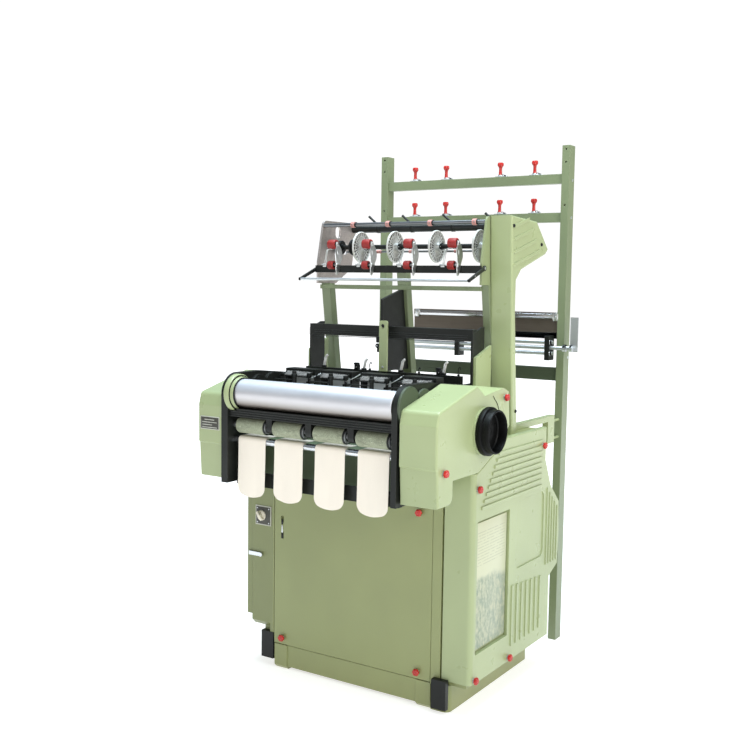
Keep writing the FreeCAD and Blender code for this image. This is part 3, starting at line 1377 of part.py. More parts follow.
def build_posts():
    for label, middle in (("left_post", -s.left_post), ("right_post", s.right_post)):
        body = new_body("post")
        half = s.post_width / 2
        near_side = front + s.post_setback
        pad(body, "XY", 0, s.post_height, lambda sketch: rectangle(
            sketch, (middle - half, near_side), (middle + half, near_side + s.post_depth)))

        def holes(sketch):
            for height in (s.upper_bar_top + s.top_hole, s.upper_bar_top + s.second_hole,
                           s.lower_bar_top + s.third_hole):
                circle(sketch, (middle, height), s.post_hole_radius)

        pocket(body, "XZ", near_side, s.post_hole_depth, holes)
        keep(body, label)


def cross_bar(top, height):
    low = -s.left_post + s.post_width / 2
    high = s.right_post - s.post_width / 2
    return block((high - low, s.creel_bar_depth, height),
                 (low, front + s.post_setback + s.creel_bar_inset, top - height))


def build_creel():
    bars = group(cross_bar(s.upper_bar_top, s.creel_bar_height),
                 cross_bar(s.lower_bar_top, s.creel_bar_height))
    keep(bars, "creel_bars")
    keep(cross_bar(s.rear_bar_bottom + s.rear_bar_height, s.rear_bar_height), "lower_rear_bar")
    knobs = []
    middle = front + s.post_setback + s.creel_bar_inset + s.creel_bar_depth / 2
    columns = (s.creel_inner_left - s.creel_pitch, s.creel_inner_left,
               s.creel_inner_right, s.creel_inner_right + s.creel_pitch)
    for top in (s.upper_bar_top, s.lower_bar_top):
        for column in columns:
            base = rod("Z", s.creel_base_radius, s.creel_base_height, (column, middle, top))
            stem = rod("Z", s.creel_stem_radius, s.creel_knob_height - 2, (column, middle, top))
            cap = document.addObject("Part::Cone", "cap")
            bind(cap, "Radius1", s.creel_stem_radius + 1)
            bind(cap, "Radius2", s.creel_cap_radius)
            bind(cap, "Height", s.creel_cap_height)
            put(cap, (column, middle, top + s.creel_knob_height - s.creel_cap_height))
            knobs.append(fuse(base, stem, cap))
            knobs.append(rod("Z", s.creel_screw_radius, s.creel_screw_height,
                             (column + s.creel_screw_offset, middle, top)))
    keep(group(*knobs), "creel_knobs")


def build_stays():
    """Beams on the cabinet's rear top, with the rods that hold the creel stand."""
    stays = []
    rear = front + s.stay_rear
    for middle in (-s.left_stay, s.right_post):
        low = middle - s.stay_width / 2
        top = s.rear_top + s.stay_height
        beam = block((s.stay_width, rear - front - s.stay_front, s.stay_height),
                     (low, front + s.stay_front, s.rear_top))
        lug = block((s.stay_width, s.stay_block, top - s.stay_block_bottom),
                    (low, rear - s.stay_block, s.stay_block_bottom))
        reach = front + s.post_setback - rear + 1
        rods = [rod("Y", s.stay_rod_radius, reach, (middle, rear - 1, height))
                for height in (s.stay_upper_rod, s.stay_lower_rod)]
        stays.append(fuse(beam, lug, *rods))
    keep(group(*stays), "stay_beams")


def build_warp_guide():
    """The folded guard, its bar, brackets and guide rods between the posts."""
    low = -s.left_post + s.post_width / 2
    high = s.right_post - s.post_width / 2
    near_side = front + s.post_setback + s.creel_bar_inset
    body = new_body("guard")
    sheet = s.warp_sheet
    base = s.warp_bar_bottom + s.warp_bar_height
    pad(body, "YZ", -s.warp_sheet_left, high + s.warp_sheet_left, lambda sketch: polygon(sketch, [
        (near_side, base),
        (near_side + sheet, base),
        (near_side + sheet, s.warp_sheet_top - sheet),
        (near_side + s.warp_lip_depth, s.warp_sheet_top - sheet),
        (near_side + s.warp_lip_depth, s.warp_sheet_top),
        (near_side - sheet, s.warp_sheet_top),
        (near_side - sheet, s.warp_sheet_top - s.warp_lip),
        (near_side, s.warp_sheet_top - s.warp_lip),
    ]))
    keep(body, "warp_guard")
    middle = front + s.warp_rod_setback
    face = front + s.warp_bracket_front
    heights = [s.warp_rod_top - index * s.warp_rod_pitch for index in range(3)]
    pieces = [block((high - low, s.creel_bar_depth, s.warp_bar_height),
                    (low, near_side, s.warp_bar_bottom))]
    for bracket in (s.warp_bracket_left, s.warp_bracket_middle, s.warp_bracket_right):
        plate = block((s.warp_bracket_width, near_side + 1 - face,
                       s.warp_bracket_top - s.warp_bracket_bottom),
                      (bracket, face, s.warp_bracket_bottom))
        holes = [rod("X", s.warp_rod_radius, s.warp_bracket_width, (bracket, middle, height))
                 for height in heights]
        pieces.append(cut(plate, *holes))
    keep(fuse(*pieces), "warp_brackets")
    start = s.warp_bracket_left - s.warp_bracket_width / 2
    end = s.warp_bracket_right + 1.5 * s.warp_bracket_width
    rods = [rod("X", s.warp_rod_radius, end - start, (start, middle, heights[0])),
            rod("X", s.warp_rod_radius, end - start, (start, middle, heights[2]))]
    axle = rod("X", s.warp_rod_radius, s.warp_axle_end - start, (start, middle, heights[1]))
    collars = [rod("X", s.warp_collar_radius, s.warp_collar_width, (spot, middle, heights[1]))
               for spot in (s.warp_collar, s.warp_end_collar)]
    end_plate = block((s.warp_end_width, s.warp_end_thickness, s.warp_end_top - s.warp_end_bottom),
                      (s.warp_end_left, middle + s.warp_collar_radius - 1, s.warp_end_bottom))
    keep(group(*rods, fuse(axle, *collars, end_plate)), "warp_rods")


# ---------------------------------------------------------------- the machine

def build_all():
    build_plinth()
    build_toe_blocks()
    build_cabinet()
    build_front_panel()
    build_right_cover()
    build_side_door()
    build_cover_knobs()
    build_controls()
    build_housing("left_head_housing", -s.left_housing_inner, left_face,
                  left_face, -s.left_housing_inner)
    build_housing("right_head_housing", s.right_housing_inner, right_face,
                  s.right_housing_inner, right_face)
    build_side_plate("left_side_plate", -s.left_housing_inner, s.left_plate_thickness)
    build_side_plate("right_side_plate", head_right, s.right_plate_thickness)
    build_head_deck()
    build_lower_bar()
    build_breast_tube()
    build_grooved_bar()
    build_take_up()
    keep(group(*[build_tape(lane) for lane in lanes]), "tapes")
    build_main_shaft()
    build_sley()
    build_reeds()
    for index, lane in enumerate(lanes, start=1):
        build_needle(index, lane)
    build_rail()
    build_harness()
    build_gussets()
    build_uprights()
    build_centre_plate()
    build_column()
    build_feeder_frame()
    build_feed_shaft()
    build_press_rollers()
    build_bail()
    build_posts()
    build_creel()
    build_stays()
    build_warp_guide()


def write_parts():
    """Check every object, then write one STEP file for each sub-part."""
    document.recompute()
    failed = [item.Name for item in document.Objects
              if "Invalid" in item.State or "Error" in item.State]
    if failed:
        raise RuntimeError("objects failed: %s" % ", ".join(failed))
    for item in nodes:
        if item.Shape.isNull() or not item.Shape.isValid() or not item.Shape.Solids:
            raise RuntimeError("no valid solid in %s" % item.Label)
    os.makedirs("parts", exist_ok=True)
    for item in nodes:
        item.Shape.exportStep("parts/%s.step" % item.Label)
    print("%d sub-parts written" % len(nodes))


build_all()
write_parts()
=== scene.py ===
"""Looks of a four-lane narrow-fabric power loom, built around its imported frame."""

import math
import random

import bmesh
import bpy
from bpy.props import FloatProperty, FloatVectorProperty, IntProperty, PointerProperty
from bpy.types import Operator, Panel, PropertyGroup
from mathutils import Matrix, Vector


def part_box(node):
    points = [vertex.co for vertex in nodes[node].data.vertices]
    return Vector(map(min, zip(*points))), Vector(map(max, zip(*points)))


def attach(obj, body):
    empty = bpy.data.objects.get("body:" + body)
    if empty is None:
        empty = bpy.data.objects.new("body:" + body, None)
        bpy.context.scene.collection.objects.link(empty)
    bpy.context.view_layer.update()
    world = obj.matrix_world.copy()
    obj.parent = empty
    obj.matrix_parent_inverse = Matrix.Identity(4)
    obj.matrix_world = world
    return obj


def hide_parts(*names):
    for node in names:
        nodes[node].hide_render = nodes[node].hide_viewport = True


bl_info = {
    "name": "Power loom looks",
    "version": (1, 0, 0),
    "blender": (4, 5, 0),
    "location": "View3D > Sidebar > Loom",
    "description": "Finishes and small pieces of a narrow-fabric power loom",
    "category": "Object",
}

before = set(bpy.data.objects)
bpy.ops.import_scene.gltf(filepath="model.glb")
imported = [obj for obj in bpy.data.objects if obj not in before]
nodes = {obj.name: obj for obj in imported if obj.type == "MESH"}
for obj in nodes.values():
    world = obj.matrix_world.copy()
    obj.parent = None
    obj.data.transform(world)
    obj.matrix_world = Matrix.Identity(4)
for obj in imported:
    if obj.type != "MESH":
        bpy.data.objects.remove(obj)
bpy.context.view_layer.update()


def linked(points):
    """The points and all others that edges join to them."""
    grown, found = points, set(points)
    while grown:
        grown = {edge.other_vert(point) for point in grown for edge in point.link_edges} - found
        found |= grown
    return found


def loose_parts(node):
    """The low and high corners of each separate solid of a node, from left to right."""
    mesh = bmesh.new()
    mesh.from_mesh(nodes[node].data)
    bmesh.ops.remove_doubles(mesh, verts=mesh.verts, dist=1e-5)
    waiting = set(mesh.verts)
    boxes = []
    while waiting:
        solid = linked({waiting.pop()})
        waiting -= solid
        low = Vector([min(point.co[axis] for point in solid) for axis in range(3)])
        high = Vector([max(point.co[axis] for point in solid) for axis in range(3)])
        boxes.append((low, high))
    mesh.free()
    return sorted(boxes, key=lambda box: (round(box[0].x, 3), box[0].z))


def middle_of(node):
    low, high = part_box(node)
    return (low + high) / 2


def linear(red, green, blue):
    """A colour given in display values of 0 to 255, as the shaders need it."""
    shares = [value / 255 for value in (red, green, blue)]
    return tuple(s / 12.92 if s < 0.04045 else ((s + 0.055) / 1.055) ** 2.4 for s in shares)


LANES = [(low.x + high.x) / 2 for low, high in loose_parts("tapes")]
FEED_LANES = [low.x + 0.005 for low, high in loose_parts("feed_discs")]


# ------------------------------------------------------------------ sizes and colours

def hue(name, description, *values):
    return FloatVectorProperty(name=name, description=description, subtype="COLOR",
                               default=linear(*values))


def span(name, description, metres, least=0.0):
    return FloatProperty(name=name, description=description, unit="LENGTH",
                         default=metres, min=least)


class LoomColours(PropertyGroup):
    body: hue("Body enamel", "Paint of the cabinet, front panel and door", 144, 149, 99)
    cover: hue("Cover enamel", "Paint of the head housings, side cover and column", 163, 172, 127)
    bed: hue("Bed paint", "Dark paint of the bed of the head", 68, 78, 58)
    black: hue("Black paint", "Paint of the side plates and the harness frame", 24, 25, 22)
    red: hue("Red plastic", "Plastic of the hand screws and creel knobs", 186, 40, 34)
    tape: hue("Tape yarn", "Yarn of the four woven tapes", 250, 237, 221)


class LoomSizes(PropertyGroup):
    tape_width: span("Tape width", "Width of a woven tape", 0.120, 0.01)
    tape_wave: span("Tape wave", "How far a hanging tape bows out of its plane", 0.0025)
    tape_thickness: span("Tape thickness", "Thickness of the woven tape", 0.0012)
    edge: span("Edge rounding", "Radius that painted edges seem to have", 0.003)
    screw_lobes: IntProperty(
        name="Screw lobes", description="Grips round a hand screw", default=6, min=3)
    disc_spokes: IntProperty(
        name="Disc spokes", description="Spokes of a clear feed disc", default=24, min=3)
    focal: FloatProperty(
        name="Focal length", description="Focal length of the camera in millimetres",
        default=48.613, min=1)


# ------------------------------------------------------------------ shader wiring

class Wire:
    """A socket of a material, with arithmetic on its value."""

    def __init__(self, finish, socket):
        self.finish = finish
        self.socket = socket

    def maths(self, operation, *terms):
        return self.finish.node("ShaderNodeMath", {"operation": operation}, dict(enumerate(terms)))

    def __add__(self, other):
        return self.maths("ADD", self, other)

    def __rsub__(self, other):
        return self.maths("SUBTRACT", other, self)

    def __mul__(self, other):
        return self.maths("MULTIPLY", self, other)

    def above(self, low, high):
        """0 up to low, 1 from high on, and smooth between them."""
        return self.finish.node("ShaderNodeMapRange", {"interpolation_type": "SMOOTHSTEP"},
                                {"Value": self, "From Min": low, "From Max": high})


class Finish:
    """A material and its node tree."""

    def __init__(self, name):
        self.material = bpy.data.materials.new(name)
        self.material.use_nodes = True
        self.tree = self.material.node_tree
        self.shader = self.tree.nodes["Principled BSDF"]
        self.place = self.node("ShaderNodeTexCoord", {}, {}, "Object")

    def node(self, kind, settings, values, output=0):
        made = self.tree.nodes.new(kind)
        for name, value in settings.items():
            setattr(made, name, value)
        for name, value in values.items():
            self.join(made.inputs[name], value)
        return made.outputs and Wire(self, made.outputs[output])

    def join(self, socket, value):
        if isinstance(value, Wire):
            self.tree.links.new(value.socket, socket)
        elif hasattr(value, "__len__") and len(value) == 3 and socket.type == "RGBA":
            socket.default_value = (*value, 1)
        else:
            socket.default_value = value

    def split(self):
        """The three coordinates of the place."""
        made = self.node("ShaderNodeSeparateXYZ", {}, {"Vector": self.place})
        return [Wire(self, socket) for socket in made.socket.node.outputs]

    def noise(self, scale, detail=2, stretch=(1, 1, 1), rough=0.5):
        moved = self.node("ShaderNodeMapping", {}, {"Vector": self.place, "Scale": stretch})
        return self.node("ShaderNodeTexNoise", {}, {
            "Vector": moved, "Scale": scale, "Detail": detail, "Roughness": rough})

    def mix(self, first, second, share):
        made = self.node("ShaderNodeMix", {"data_type": "RGBA"}, {})
        mixer = made.socket.node
        self.join(mixer.inputs[0], share)
        self.join(mixer.inputs[6], first)
        self.join(mixer.inputs[7], second)
        return Wire(self, mixer.outputs[2])

    def edges(self, radius):
        """Where the surface turns sharply, and the normal that rounds it."""
        soft = self.node("ShaderNodeBevel", {"samples": 4}, {"Radius": radius})
        true = self.node("ShaderNodeNewGeometry", {}, {}, "True Normal")
        along = self.node("ShaderNodeVectorMath", {"operation": "DOT_PRODUCT"},
                          {0: soft, 1: true}, "Value")
        return 1 - along, soft

    def bump(self, height, distance, normal=None):
        values = {"Height": height, "Distance": distance, "Strength": 1.0}
        if normal:
            values["Normal"] = normal
        return self.node("ShaderNodeBump", {}, values)

    def surface(self, **values):
        for name, value in values.items():
            self.join(self.shader.inputs[name.replace("_", " ")], value)
        return self.material


class Sky(Finish):
    """The world: white where it is seen, and a cool sky over a dim horizon for the light."""

    def __init__(self, world):
        world.use_nodes = True
        self.tree = world.node_tree
        self.tree.nodes.clear()
        self.place = self.node("ShaderNodeTexCoord", {}, {}, "Generated")
        height = self.split()[2]
        sky = self.mix((0.46, 0.44, 0.41), (0.80, 0.98, 1.14), height.above(0.0, 0.9))
        light = self.node("ShaderNodeBackground", {}, {"Color": sky, "Strength": 0.53})
        shown = self.node("ShaderNodeBackground", {}, {"Color": (1, 1, 1), "Strength": 1.05})
        seen = self.node("ShaderNodeLightPath", {}, {}, "Is Camera Ray")
        mixed = self.node("ShaderNodeMixShader", {}, {0: seen, 1: light, 2: shown})
        self.node("ShaderNodeOutputWorld", {}, {"Surface": mixed})


def shade(colour, factor):
    return tuple(channel * factor for channel in colour)


def enamel(name, colour, roughness=0.34, peel=0.00004, dust=0.10, painted_shade_left=1.0):
    """Sprayed enamel: orange peel, uneven gloss, dull lower parts, painted edge highlights, painted shade
    on the left.
    """
    finish = Finish(name)
    edge, soft = finish.edges(bpy.context.scene.loom_sizes.edge)
    cloud = finish.noise(2.2, 3)
    grime = finish.noise(3.2, 3, (1, 1, 0.4), 0.5).above(0.42, 0.80)
    height = finish.split()[2]
    low = 1 - height.above(0.0, 0.75)
    base = finish.mix(shade(colour, 0.92), shade(colour, 1.06), cloud.above(0.25, 0.75))
    base = finish.mix(base, shade(colour, 0.70), (grime * (low * 0.8 + 0.25)) * dust * 3)
    # Painted highlight: the edges are made paler where light would catch them.
    base = finish.mix(base, tuple(min(1, c * 1.25 + 0.03) for c in colour), edge.above(0.02, 0.25) * 0.5)
    # Painted shade: left of the front panel, on the control box, the enamel is darkened where the light
    # falls off.
    if painted_shade_left < 1:
        left = 1 - finish.split()[0].above(-0.356, -0.352)
        base = finish.mix(base, shade(colour, painted_shade_left), left * 0.9)
    fine = finish.noise(420, 2)
    return finish.surface(
        Base_Color=base, Roughness=finish.noise(18, 3) * 0.16 + (roughness - 0.08),
        Normal=finish.bump(fine, peel * 10, soft), Specular_IOR_Level=0.5)


def black_paint(name, colour, roughness=0.42, grain=260, depth=0.0004, gloss=0.3):
    """Black paint with a fine wrinkle, and a painted grey highlight on its edges."""
    finish = Finish(name)
    edge, soft = finish.edges(0.002)
    base = finish.mix(colour, shade(colour, 2.2), finish.noise(9, 4).above(0.4, 0.8) * 0.6)
    # Painted highlight: the edges are greyed where light would catch them.
    base = finish.mix(base, linear(120, 122, 118), edge.above(0.04, 0.3) * 0.35)
    return finish.surface(
        Base_Color=base, Roughness=finish.noise(30, 3) * 0.2 + (roughness - 0.1),
        Normal=finish.bump(finish.noise(grain, 3), depth, soft), Specular_IOR_Level=gloss)


def plastic(name, colour, roughness=0.32, gloss=0.5):
    """Moulded plastic, with a painted pale highlight on its edges."""
    finish = Finish(name)
    edge, soft = finish.edges(0.0012)
    base = finish.mix(shade(colour, 0.85), shade(colour, 1.1), finish.noise(40, 3).above(0.3, 0.7))
    # Painted highlight: the edges are made paler where light would catch them.
    base = finish.mix(base, tuple(min(1, c * 1.3 + 0.02) for c in colour), edge.above(0.03, 0.3) * 0.4)
    return finish.surface(Base_Color=base, Roughness=finish.noise(60, 2) * 0.14 + (roughness - 0.07),
                          Normal=finish.bump(finish.noise(600, 2), 0.0001, soft),
                          Specular_IOR_Level=gloss)


def metal(name, colour, roughness, stretch=(1, 1, 1), grain=0.00006, scale=160):
    """Bare metal with a drawn, turned or cast grain along the long side of its stretch."""
    finish = Finish(name)
    edge, soft = finish.edges(0.0012)
    grainy = finish.noise(scale, 4, stretch, 0.6)
    base = finish.mix(shade(colour, 0.78), colour, grainy.above(0.3, 0.7))
    base = finish.mix(base, shade(colour, 0.62), finish.noise(12, 4).above(0.55, 0.8) * 0.5)
    return finish.surface(
        Base_Color=base, Metallic=1.0, Roughness=grainy * 0.18 + (roughness - 0.09),
        Normal=finish.bump(grainy, grain, soft))


def rolled_tube(name, bright, painted_underside, middle):
    """Matt aluminium, drawn along its length, smudged, and browned on its underside by a painted warm
    reflection and shade.
    """
    finish = Finish(name)
    across = finish.noise(70, 3, (0.03, 1, 1), 0.6)
    smudge = finish.noise(6, 4, (0.6, 1, 2.2), 0.6)
    height = finish.split()[2]
    # Painted reflection and shade: below the tube's middle the colour turns to a warm brown.
    under = 1 - (height + smudge * 0.022).above(middle - 0.036, middle + 0.030)
    base = finish.mix(bright, shade(bright, 0.86), smudge.above(0.45, 0.75))
    base = finish.mix(base, painted_underside, under * 0.9)
    return finish.surface(Base_Color=base, Metallic=0.88, Roughness=across * 0.12 + smudge * 0.1 + 0.36,
                          Normal=finish.bump(across, 0.00004))


def feeder_plate(name, bare, painted):
    """Bare cast metal on the left of the loom, and on its right the cover's paint darkened as painted
    shade.
    """
    finish = Finish(name)
    edge, soft = finish.edges(0.0015)
    grain = finish.noise(220, 4, (1, 1, 1), 0.6)
    right = finish.split()[0].above(0.0, 0.01)
    base = finish.mix(shade(bare, 0.78), bare, grain.above(0.3, 0.7))
    base = finish.mix(base, shade(bare, 0.55), finish.noise(14, 4).above(0.5, 0.75) * 0.5)
    # Painted shade: the right part takes the cover's paint, darkened.
    return finish.surface(
        Base_Color=finish.mix(base, painted, right), Metallic=1 - right,
        Roughness=grain * 0.18 + 0.40, Normal=finish.bump(grain, 0.0001, soft))


def rubber(name, colour, roughness=0.75, scale=900, depth=0.0006, worn=0.0):
    """Rubber or grit cloth: speckled, with lengthwise worn streaks."""
    finish = Finish(name)
    grit = finish.noise(scale, 3, rough=0.7)
    base = finish.mix(shade(colour, 0.6), shade(colour, 1.25), grit.above(0.3, 0.7))
    streak = finish.noise(60, 4, (0.35, 1, 1), 0.65)
    base = finish.mix(base, shade(colour, 0.45), streak.above(0.42, 0.75) * worn)
    base = finish.mix(base, shade(colour, 1.7), finish.noise(150, 3, (0.5, 1, 1)).above(0.60, 0.75) * worn)
    return finish.surface(Base_Color=base, Roughness=roughness, Normal=finish.bump(grit, depth))


def woven(name, colour):
    """Tape cloth: warp cords down its length and fine weft across them."""
    finish = Finish(name)
    across, _, down = finish.split()
    cord = (across * 2600).maths("SINE", across * 2600)
    pick = (down * 3400).maths("SINE", down * 3400)
    weave = cord * 0.6 + pick * 0.4
    base = finish.mix(shade(colour, 0.86), colour, (weave * 0.5 + 0.5).above(0.1, 0.8))
    base = finish.mix(base, shade(colour, 0.9), finish.noise(25, 3, (1, 1, 0.3)).above(0.45, 0.75) * 0.5)
    return finish.surface(Base_Color=base, Roughness=0.85, Normal=finish.bump(weave, 0.00012))


def label_field(name, upper, lower):
    """A bare printed plate: a pale upper field, a mottled lower one and thin ruled lines."""
    finish = Finish(name)
    _, along, height = finish.split()
    mottle = finish.noise(75, 5, (1, 1, 0.6), 0.7)
    base = finish.mix(shade(lower, 0.88), shade(upper, 0.86), mottle.above(0.36, 0.66))
    edge = finish.noise(9, 2) * 0.09
    base = finish.mix(base, upper, (height + edge).above(0.485, 0.515))
    ruled = (height * 620).maths("SINE", height * 620).above(0.45, 0.9)
    inside = (height.above(0.50, 0.51) * (1 - height.above(0.622, 0.626))
              * along.above(-0.272, -0.270) * (1 - along.above(-0.068, -0.066)))
    base = finish.mix(base, shade(upper, 0.66), ruled * inside * finish.noise(70, 2).above(0.36, 0.5) * 0.7)
    return finish.surface(Base_Color=base, Roughness=mottle * 0.2 + 0.3,
                          Normal=finish.bump(mottle, 0.0001))


def clear(name, colour, alpha):
    finish = Finish(name)
    rim = finish.noise(80, 2)
    return finish.surface(Base_Color=finish.mix(shade(colour, 0.85), colour, rim),
                          Roughness=rim * 0.1 + 0.12, Alpha=alpha)


# ------------------------------------------------------------------ shapes

# Places are in metres. Steps from a place, radii, depths and roundings are in millimetres.
X, Y, Z = Vector((1, 0, 0)), Vector((0, 1, 0)), Vector((0, 0, 1))
MM = 0.001


def mm(x, y, z):
    return Vector((x, y, z)) * MM


def near(origin, *steps):
    """The places that steps in millimetres lead to from an origin."""
    return [origin + mm(*step) for step in steps]


def path(*runs):
    """Points of (y, z): each run has a place, and then steps from it in millimetres."""
    return [(y + back * MM, z + up * MM) for y, z, *steps in runs for back, up in steps]


def turned(low, high):
    """A part turned about X: its left end, its middle, and its length and radius in millimetres."""
    middle = (low + high) / 2
    end = Vector((low.x, middle.y, middle.z))
    return end, middle, (high.x - low.x) / MM, (high.z - low.z) / 2 / MM


def turn_about(axis, degrees):
    return Matrix.Rotation(math.radians(degrees), 4, axis)


def placed(centre, axis):
    """The matrix that brings a shape made along Z to its centre and direction."""
    turn = Vector(axis).to_track_quat("Z", "Y").to_matrix().to_4x4()
    return Matrix.Translation(Vector(centre)) @ turn


class Build:
    """A bmesh that shapes are added to, each in one of the piece's materials."""

    def __init__(self):
        self.mesh = bmesh.new()

    def dress(self, points, material):
        """Gives the faces round the new points their material, and returns them."""
        found = {face for point in points for face in point.link_faces}
        for face in found:
            face.material_index = material
            face.smooth = True
        return list(found)

    def bevel(self, edges, rounding):
        return bmesh.ops.bevel(self.mesh, geom=edges, offset=rounding * MM, segments=2,
                               affect="EDGES", profile=0.5, material=-1)["verts"]

    def slab(self, low, high, material, rounding, turn):
        """A block between two corners, turned about its middle, with rounded edges."""
        matrix = Matrix.Translation((low + high) / 2) @ turn @ Matrix.Diagonal((*(high - low), 1))
        points = bmesh.ops.create_cube(self.mesh, size=1, matrix=matrix)["verts"]
        if rounding:
            points = self.bevel(list({edge for point in points for edge in point.link_edges}), rounding)
        self.dress(points, material)

    def slabs(self, origin, material, *rows, turn=Matrix.Identity(4)):
        """Blocks near an origin, each with two corners and a rounding."""
        for *corners, rounding in rows:
            low, high = near(origin, corners[:3], corners[3:])
            self.slab(low, high, material, rounding, turn)

    def drum(self, centre, radius, depth, material=0, steps=32, axis=X, rounding=0, end=None):
        """A cylinder about its centre, or a cone that ends in another radius."""
        points = bmesh.ops.create_cone(
            self.mesh, cap_ends=True, segments=steps, radius1=radius * MM,
            radius2=(end or radius) * MM, depth=depth * MM, matrix=placed(centre, axis))["verts"]
        if rounding:
            rims = [edge for edge in {e for point in points for e in point.link_edges}
                    if any(len(face.verts) > 4 for face in edge.link_faces)]
            points = [point for point in {*points, *self.bevel(rims, rounding)} if point.is_valid]
        self.dress(points, material)

    def lathe(self, centre, profile, material=0, steps=40, axis=X, ring=False, flutes=None):
        """A turned shape: pairs of (radius, distance along the axis) spun right round.

        A ring closes its profile on itself. Flutes are a count, a depth as a share of the
        radius, and the radius beyond which the shape has them.
        """
        chain = [self.mesh.verts.new((radius * MM, 0, along * MM)) for radius, along in profile]
        ends = chain[1:] + (chain[:1] if ring else [])
        rims = [self.mesh.edges.new(pair) for pair in zip(chain, ends)]
        bmesh.ops.spin(self.mesh, geom=chain + rims, cent=(0, 0, 0), axis=(0, 0, 1),
                       dvec=(0, 0, 0), angle=2 * math.pi, steps=steps, use_merge=True)
        points = linked({point for point in chain if point.is_valid})
        poles = [point for point in points if point.co.xy.length < 1e-7]
        bmesh.ops.remove_doubles(self.mesh, verts=poles, dist=1e-6)
        points = [point for point in points if point.is_valid]
        if flutes:
            count, depth, beyond = flutes
            for point in points:
                if point.co.xy.length > beyond * MM:
                    wave = math.cos(count * math.atan2(point.co.y, point.co.x))
                    point.co.xy *= 1 - depth * (0.5 - 0.5 * wave)
        bmesh.ops.recalc_face_normals(self.mesh, faces=self.dress(points, material))
        bmesh.ops.transform(self.mesh, matrix=placed(centre, axis), verts=points)

    def collar(self, centre, inner, outer, start, stop, material, steps, cut=None):
        """A ring or disc about X, whose outer rims can be cut by a depth and a width."""
        rim = [(outer, start), (outer, stop)]
        if cut:
            depth, width = cut
            rim = [(outer - depth, start), (outer, start + width),
                   (outer, stop - width), (outer - depth, stop)]
        self.lathe(centre, [(inner, start), *rim, (inner, stop)], material, steps, ring=inner > 0)

    def ribbon(self, line, width, start, thickness, taper, steps=24):
        """A strip that follows a smooth line of (y, z), padded along X from start.

        Taper is the share of its width that the strip loses towards both ends.
        """
        count = len(line)
        spots = []
        for step in range(steps + 1):
            along = step / steps * (count - 1)
            first = min(int(along), count - 2)
            share = along - first
            before, here, after, last = (
                Vector(line[min(max(first + index, 0), count - 1)]) for index in (-1, 0, 1, 2))
            spots.append(0.5 * (2 * here + (after - before) * share
                                + (2 * before - 5 * here + 4 * after - last) * share ** 2
                                + (3 * here - before - 3 * after + last) * share ** 3))
        rails = ([], [])
        for side, rail in zip((-0.5, 0.5), rails):
            for step, spot in enumerate(spots):
                along = (spots[min(step + 1, steps)] - spots[max(step - 1, 0)]).normalized()
                narrow = 1 - taper * (2 * step / steps - 1) ** 2
                out = spot + Vector((-along.y, along.x)) * width * MM * narrow * side
                rail.append(self.mesh.verts.new((start, out.x, out.y)))
        edges = [self.mesh.edges.new(pair) for rail in rails for pair in zip(rail, rail[1:])]
        faces = bmesh.ops.bridge_loops(self.mesh, edges=edges)["faces"]
        grown = bmesh.ops.extrude_face_region(self.mesh, geom=faces)["geom"]
        fresh = [item for item in grown if isinstance(item, bmesh.types.BMVert)]
        bmesh.ops.translate(self.mesh, verts=fresh, vec=X * thickness * MM)
        sides = self.dress(rails[0] + rails[1] + fresh, 0)
        bmesh.ops.recalc_face_normals(self.mesh, faces=sides)

    def wire(self, points, radius, material=0):
        """A bent wire along points."""
        curve = bpy.data.curves.new("bend", "CURVE")
        curve.dimensions = "3D"
        curve.bevel_depth = radius * MM
        curve.bevel_resolution = 2
        curve.resolution_u = 6
        curve.use_fill_caps = True
        spline = curve.splines.new("NURBS")
        spline.points.add(len(points) - 1)
        for spot, point in zip(spline.points, points):
            spot.co = (*point, 1)
        spline.order_u = 3
        spline.use_endpoint_u = True
        holder = bpy.data.objects.new("bend", curve)
        made = bpy.data.meshes.new_from_object(holder)
        before = set(self.mesh.verts)
        self.mesh.from_mesh(made)
        fresh = [point for point in self.mesh.verts if point not in before]
        bmesh.ops.remove_doubles(self.mesh, verts=fresh, dist=1e-6)
        faces = self.dress([point for point in fresh if point.is_valid], material)
        bmesh.ops.recalc_face_normals(self.mesh, faces=faces)
        bpy.data.objects.remove(holder)
        bpy.data.curves.remove(curve)
        bpy.data.meshes.remove(made)

    def finish(self, name, body, slot, *materials, smooth=0.6, node=None):
        """Turns the bmesh into a piece that rides on a body, and that may replace a node."""
        data = bpy.data.meshes.new(name)
        self.mesh.to_mesh(data)
        self.mesh.free()
        data.set_sharp_from_angle(angle=smooth)
        for material in materials:
            data.materials.append(bpy.data.materials[material])
        piece = bpy.data.objects.new(name, data)
        bpy.context.scene.collection.objects.link(piece)
        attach(piece, body)
        if node:
            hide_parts(node)
        return piece


# ------------------------------------------------------------------ operators

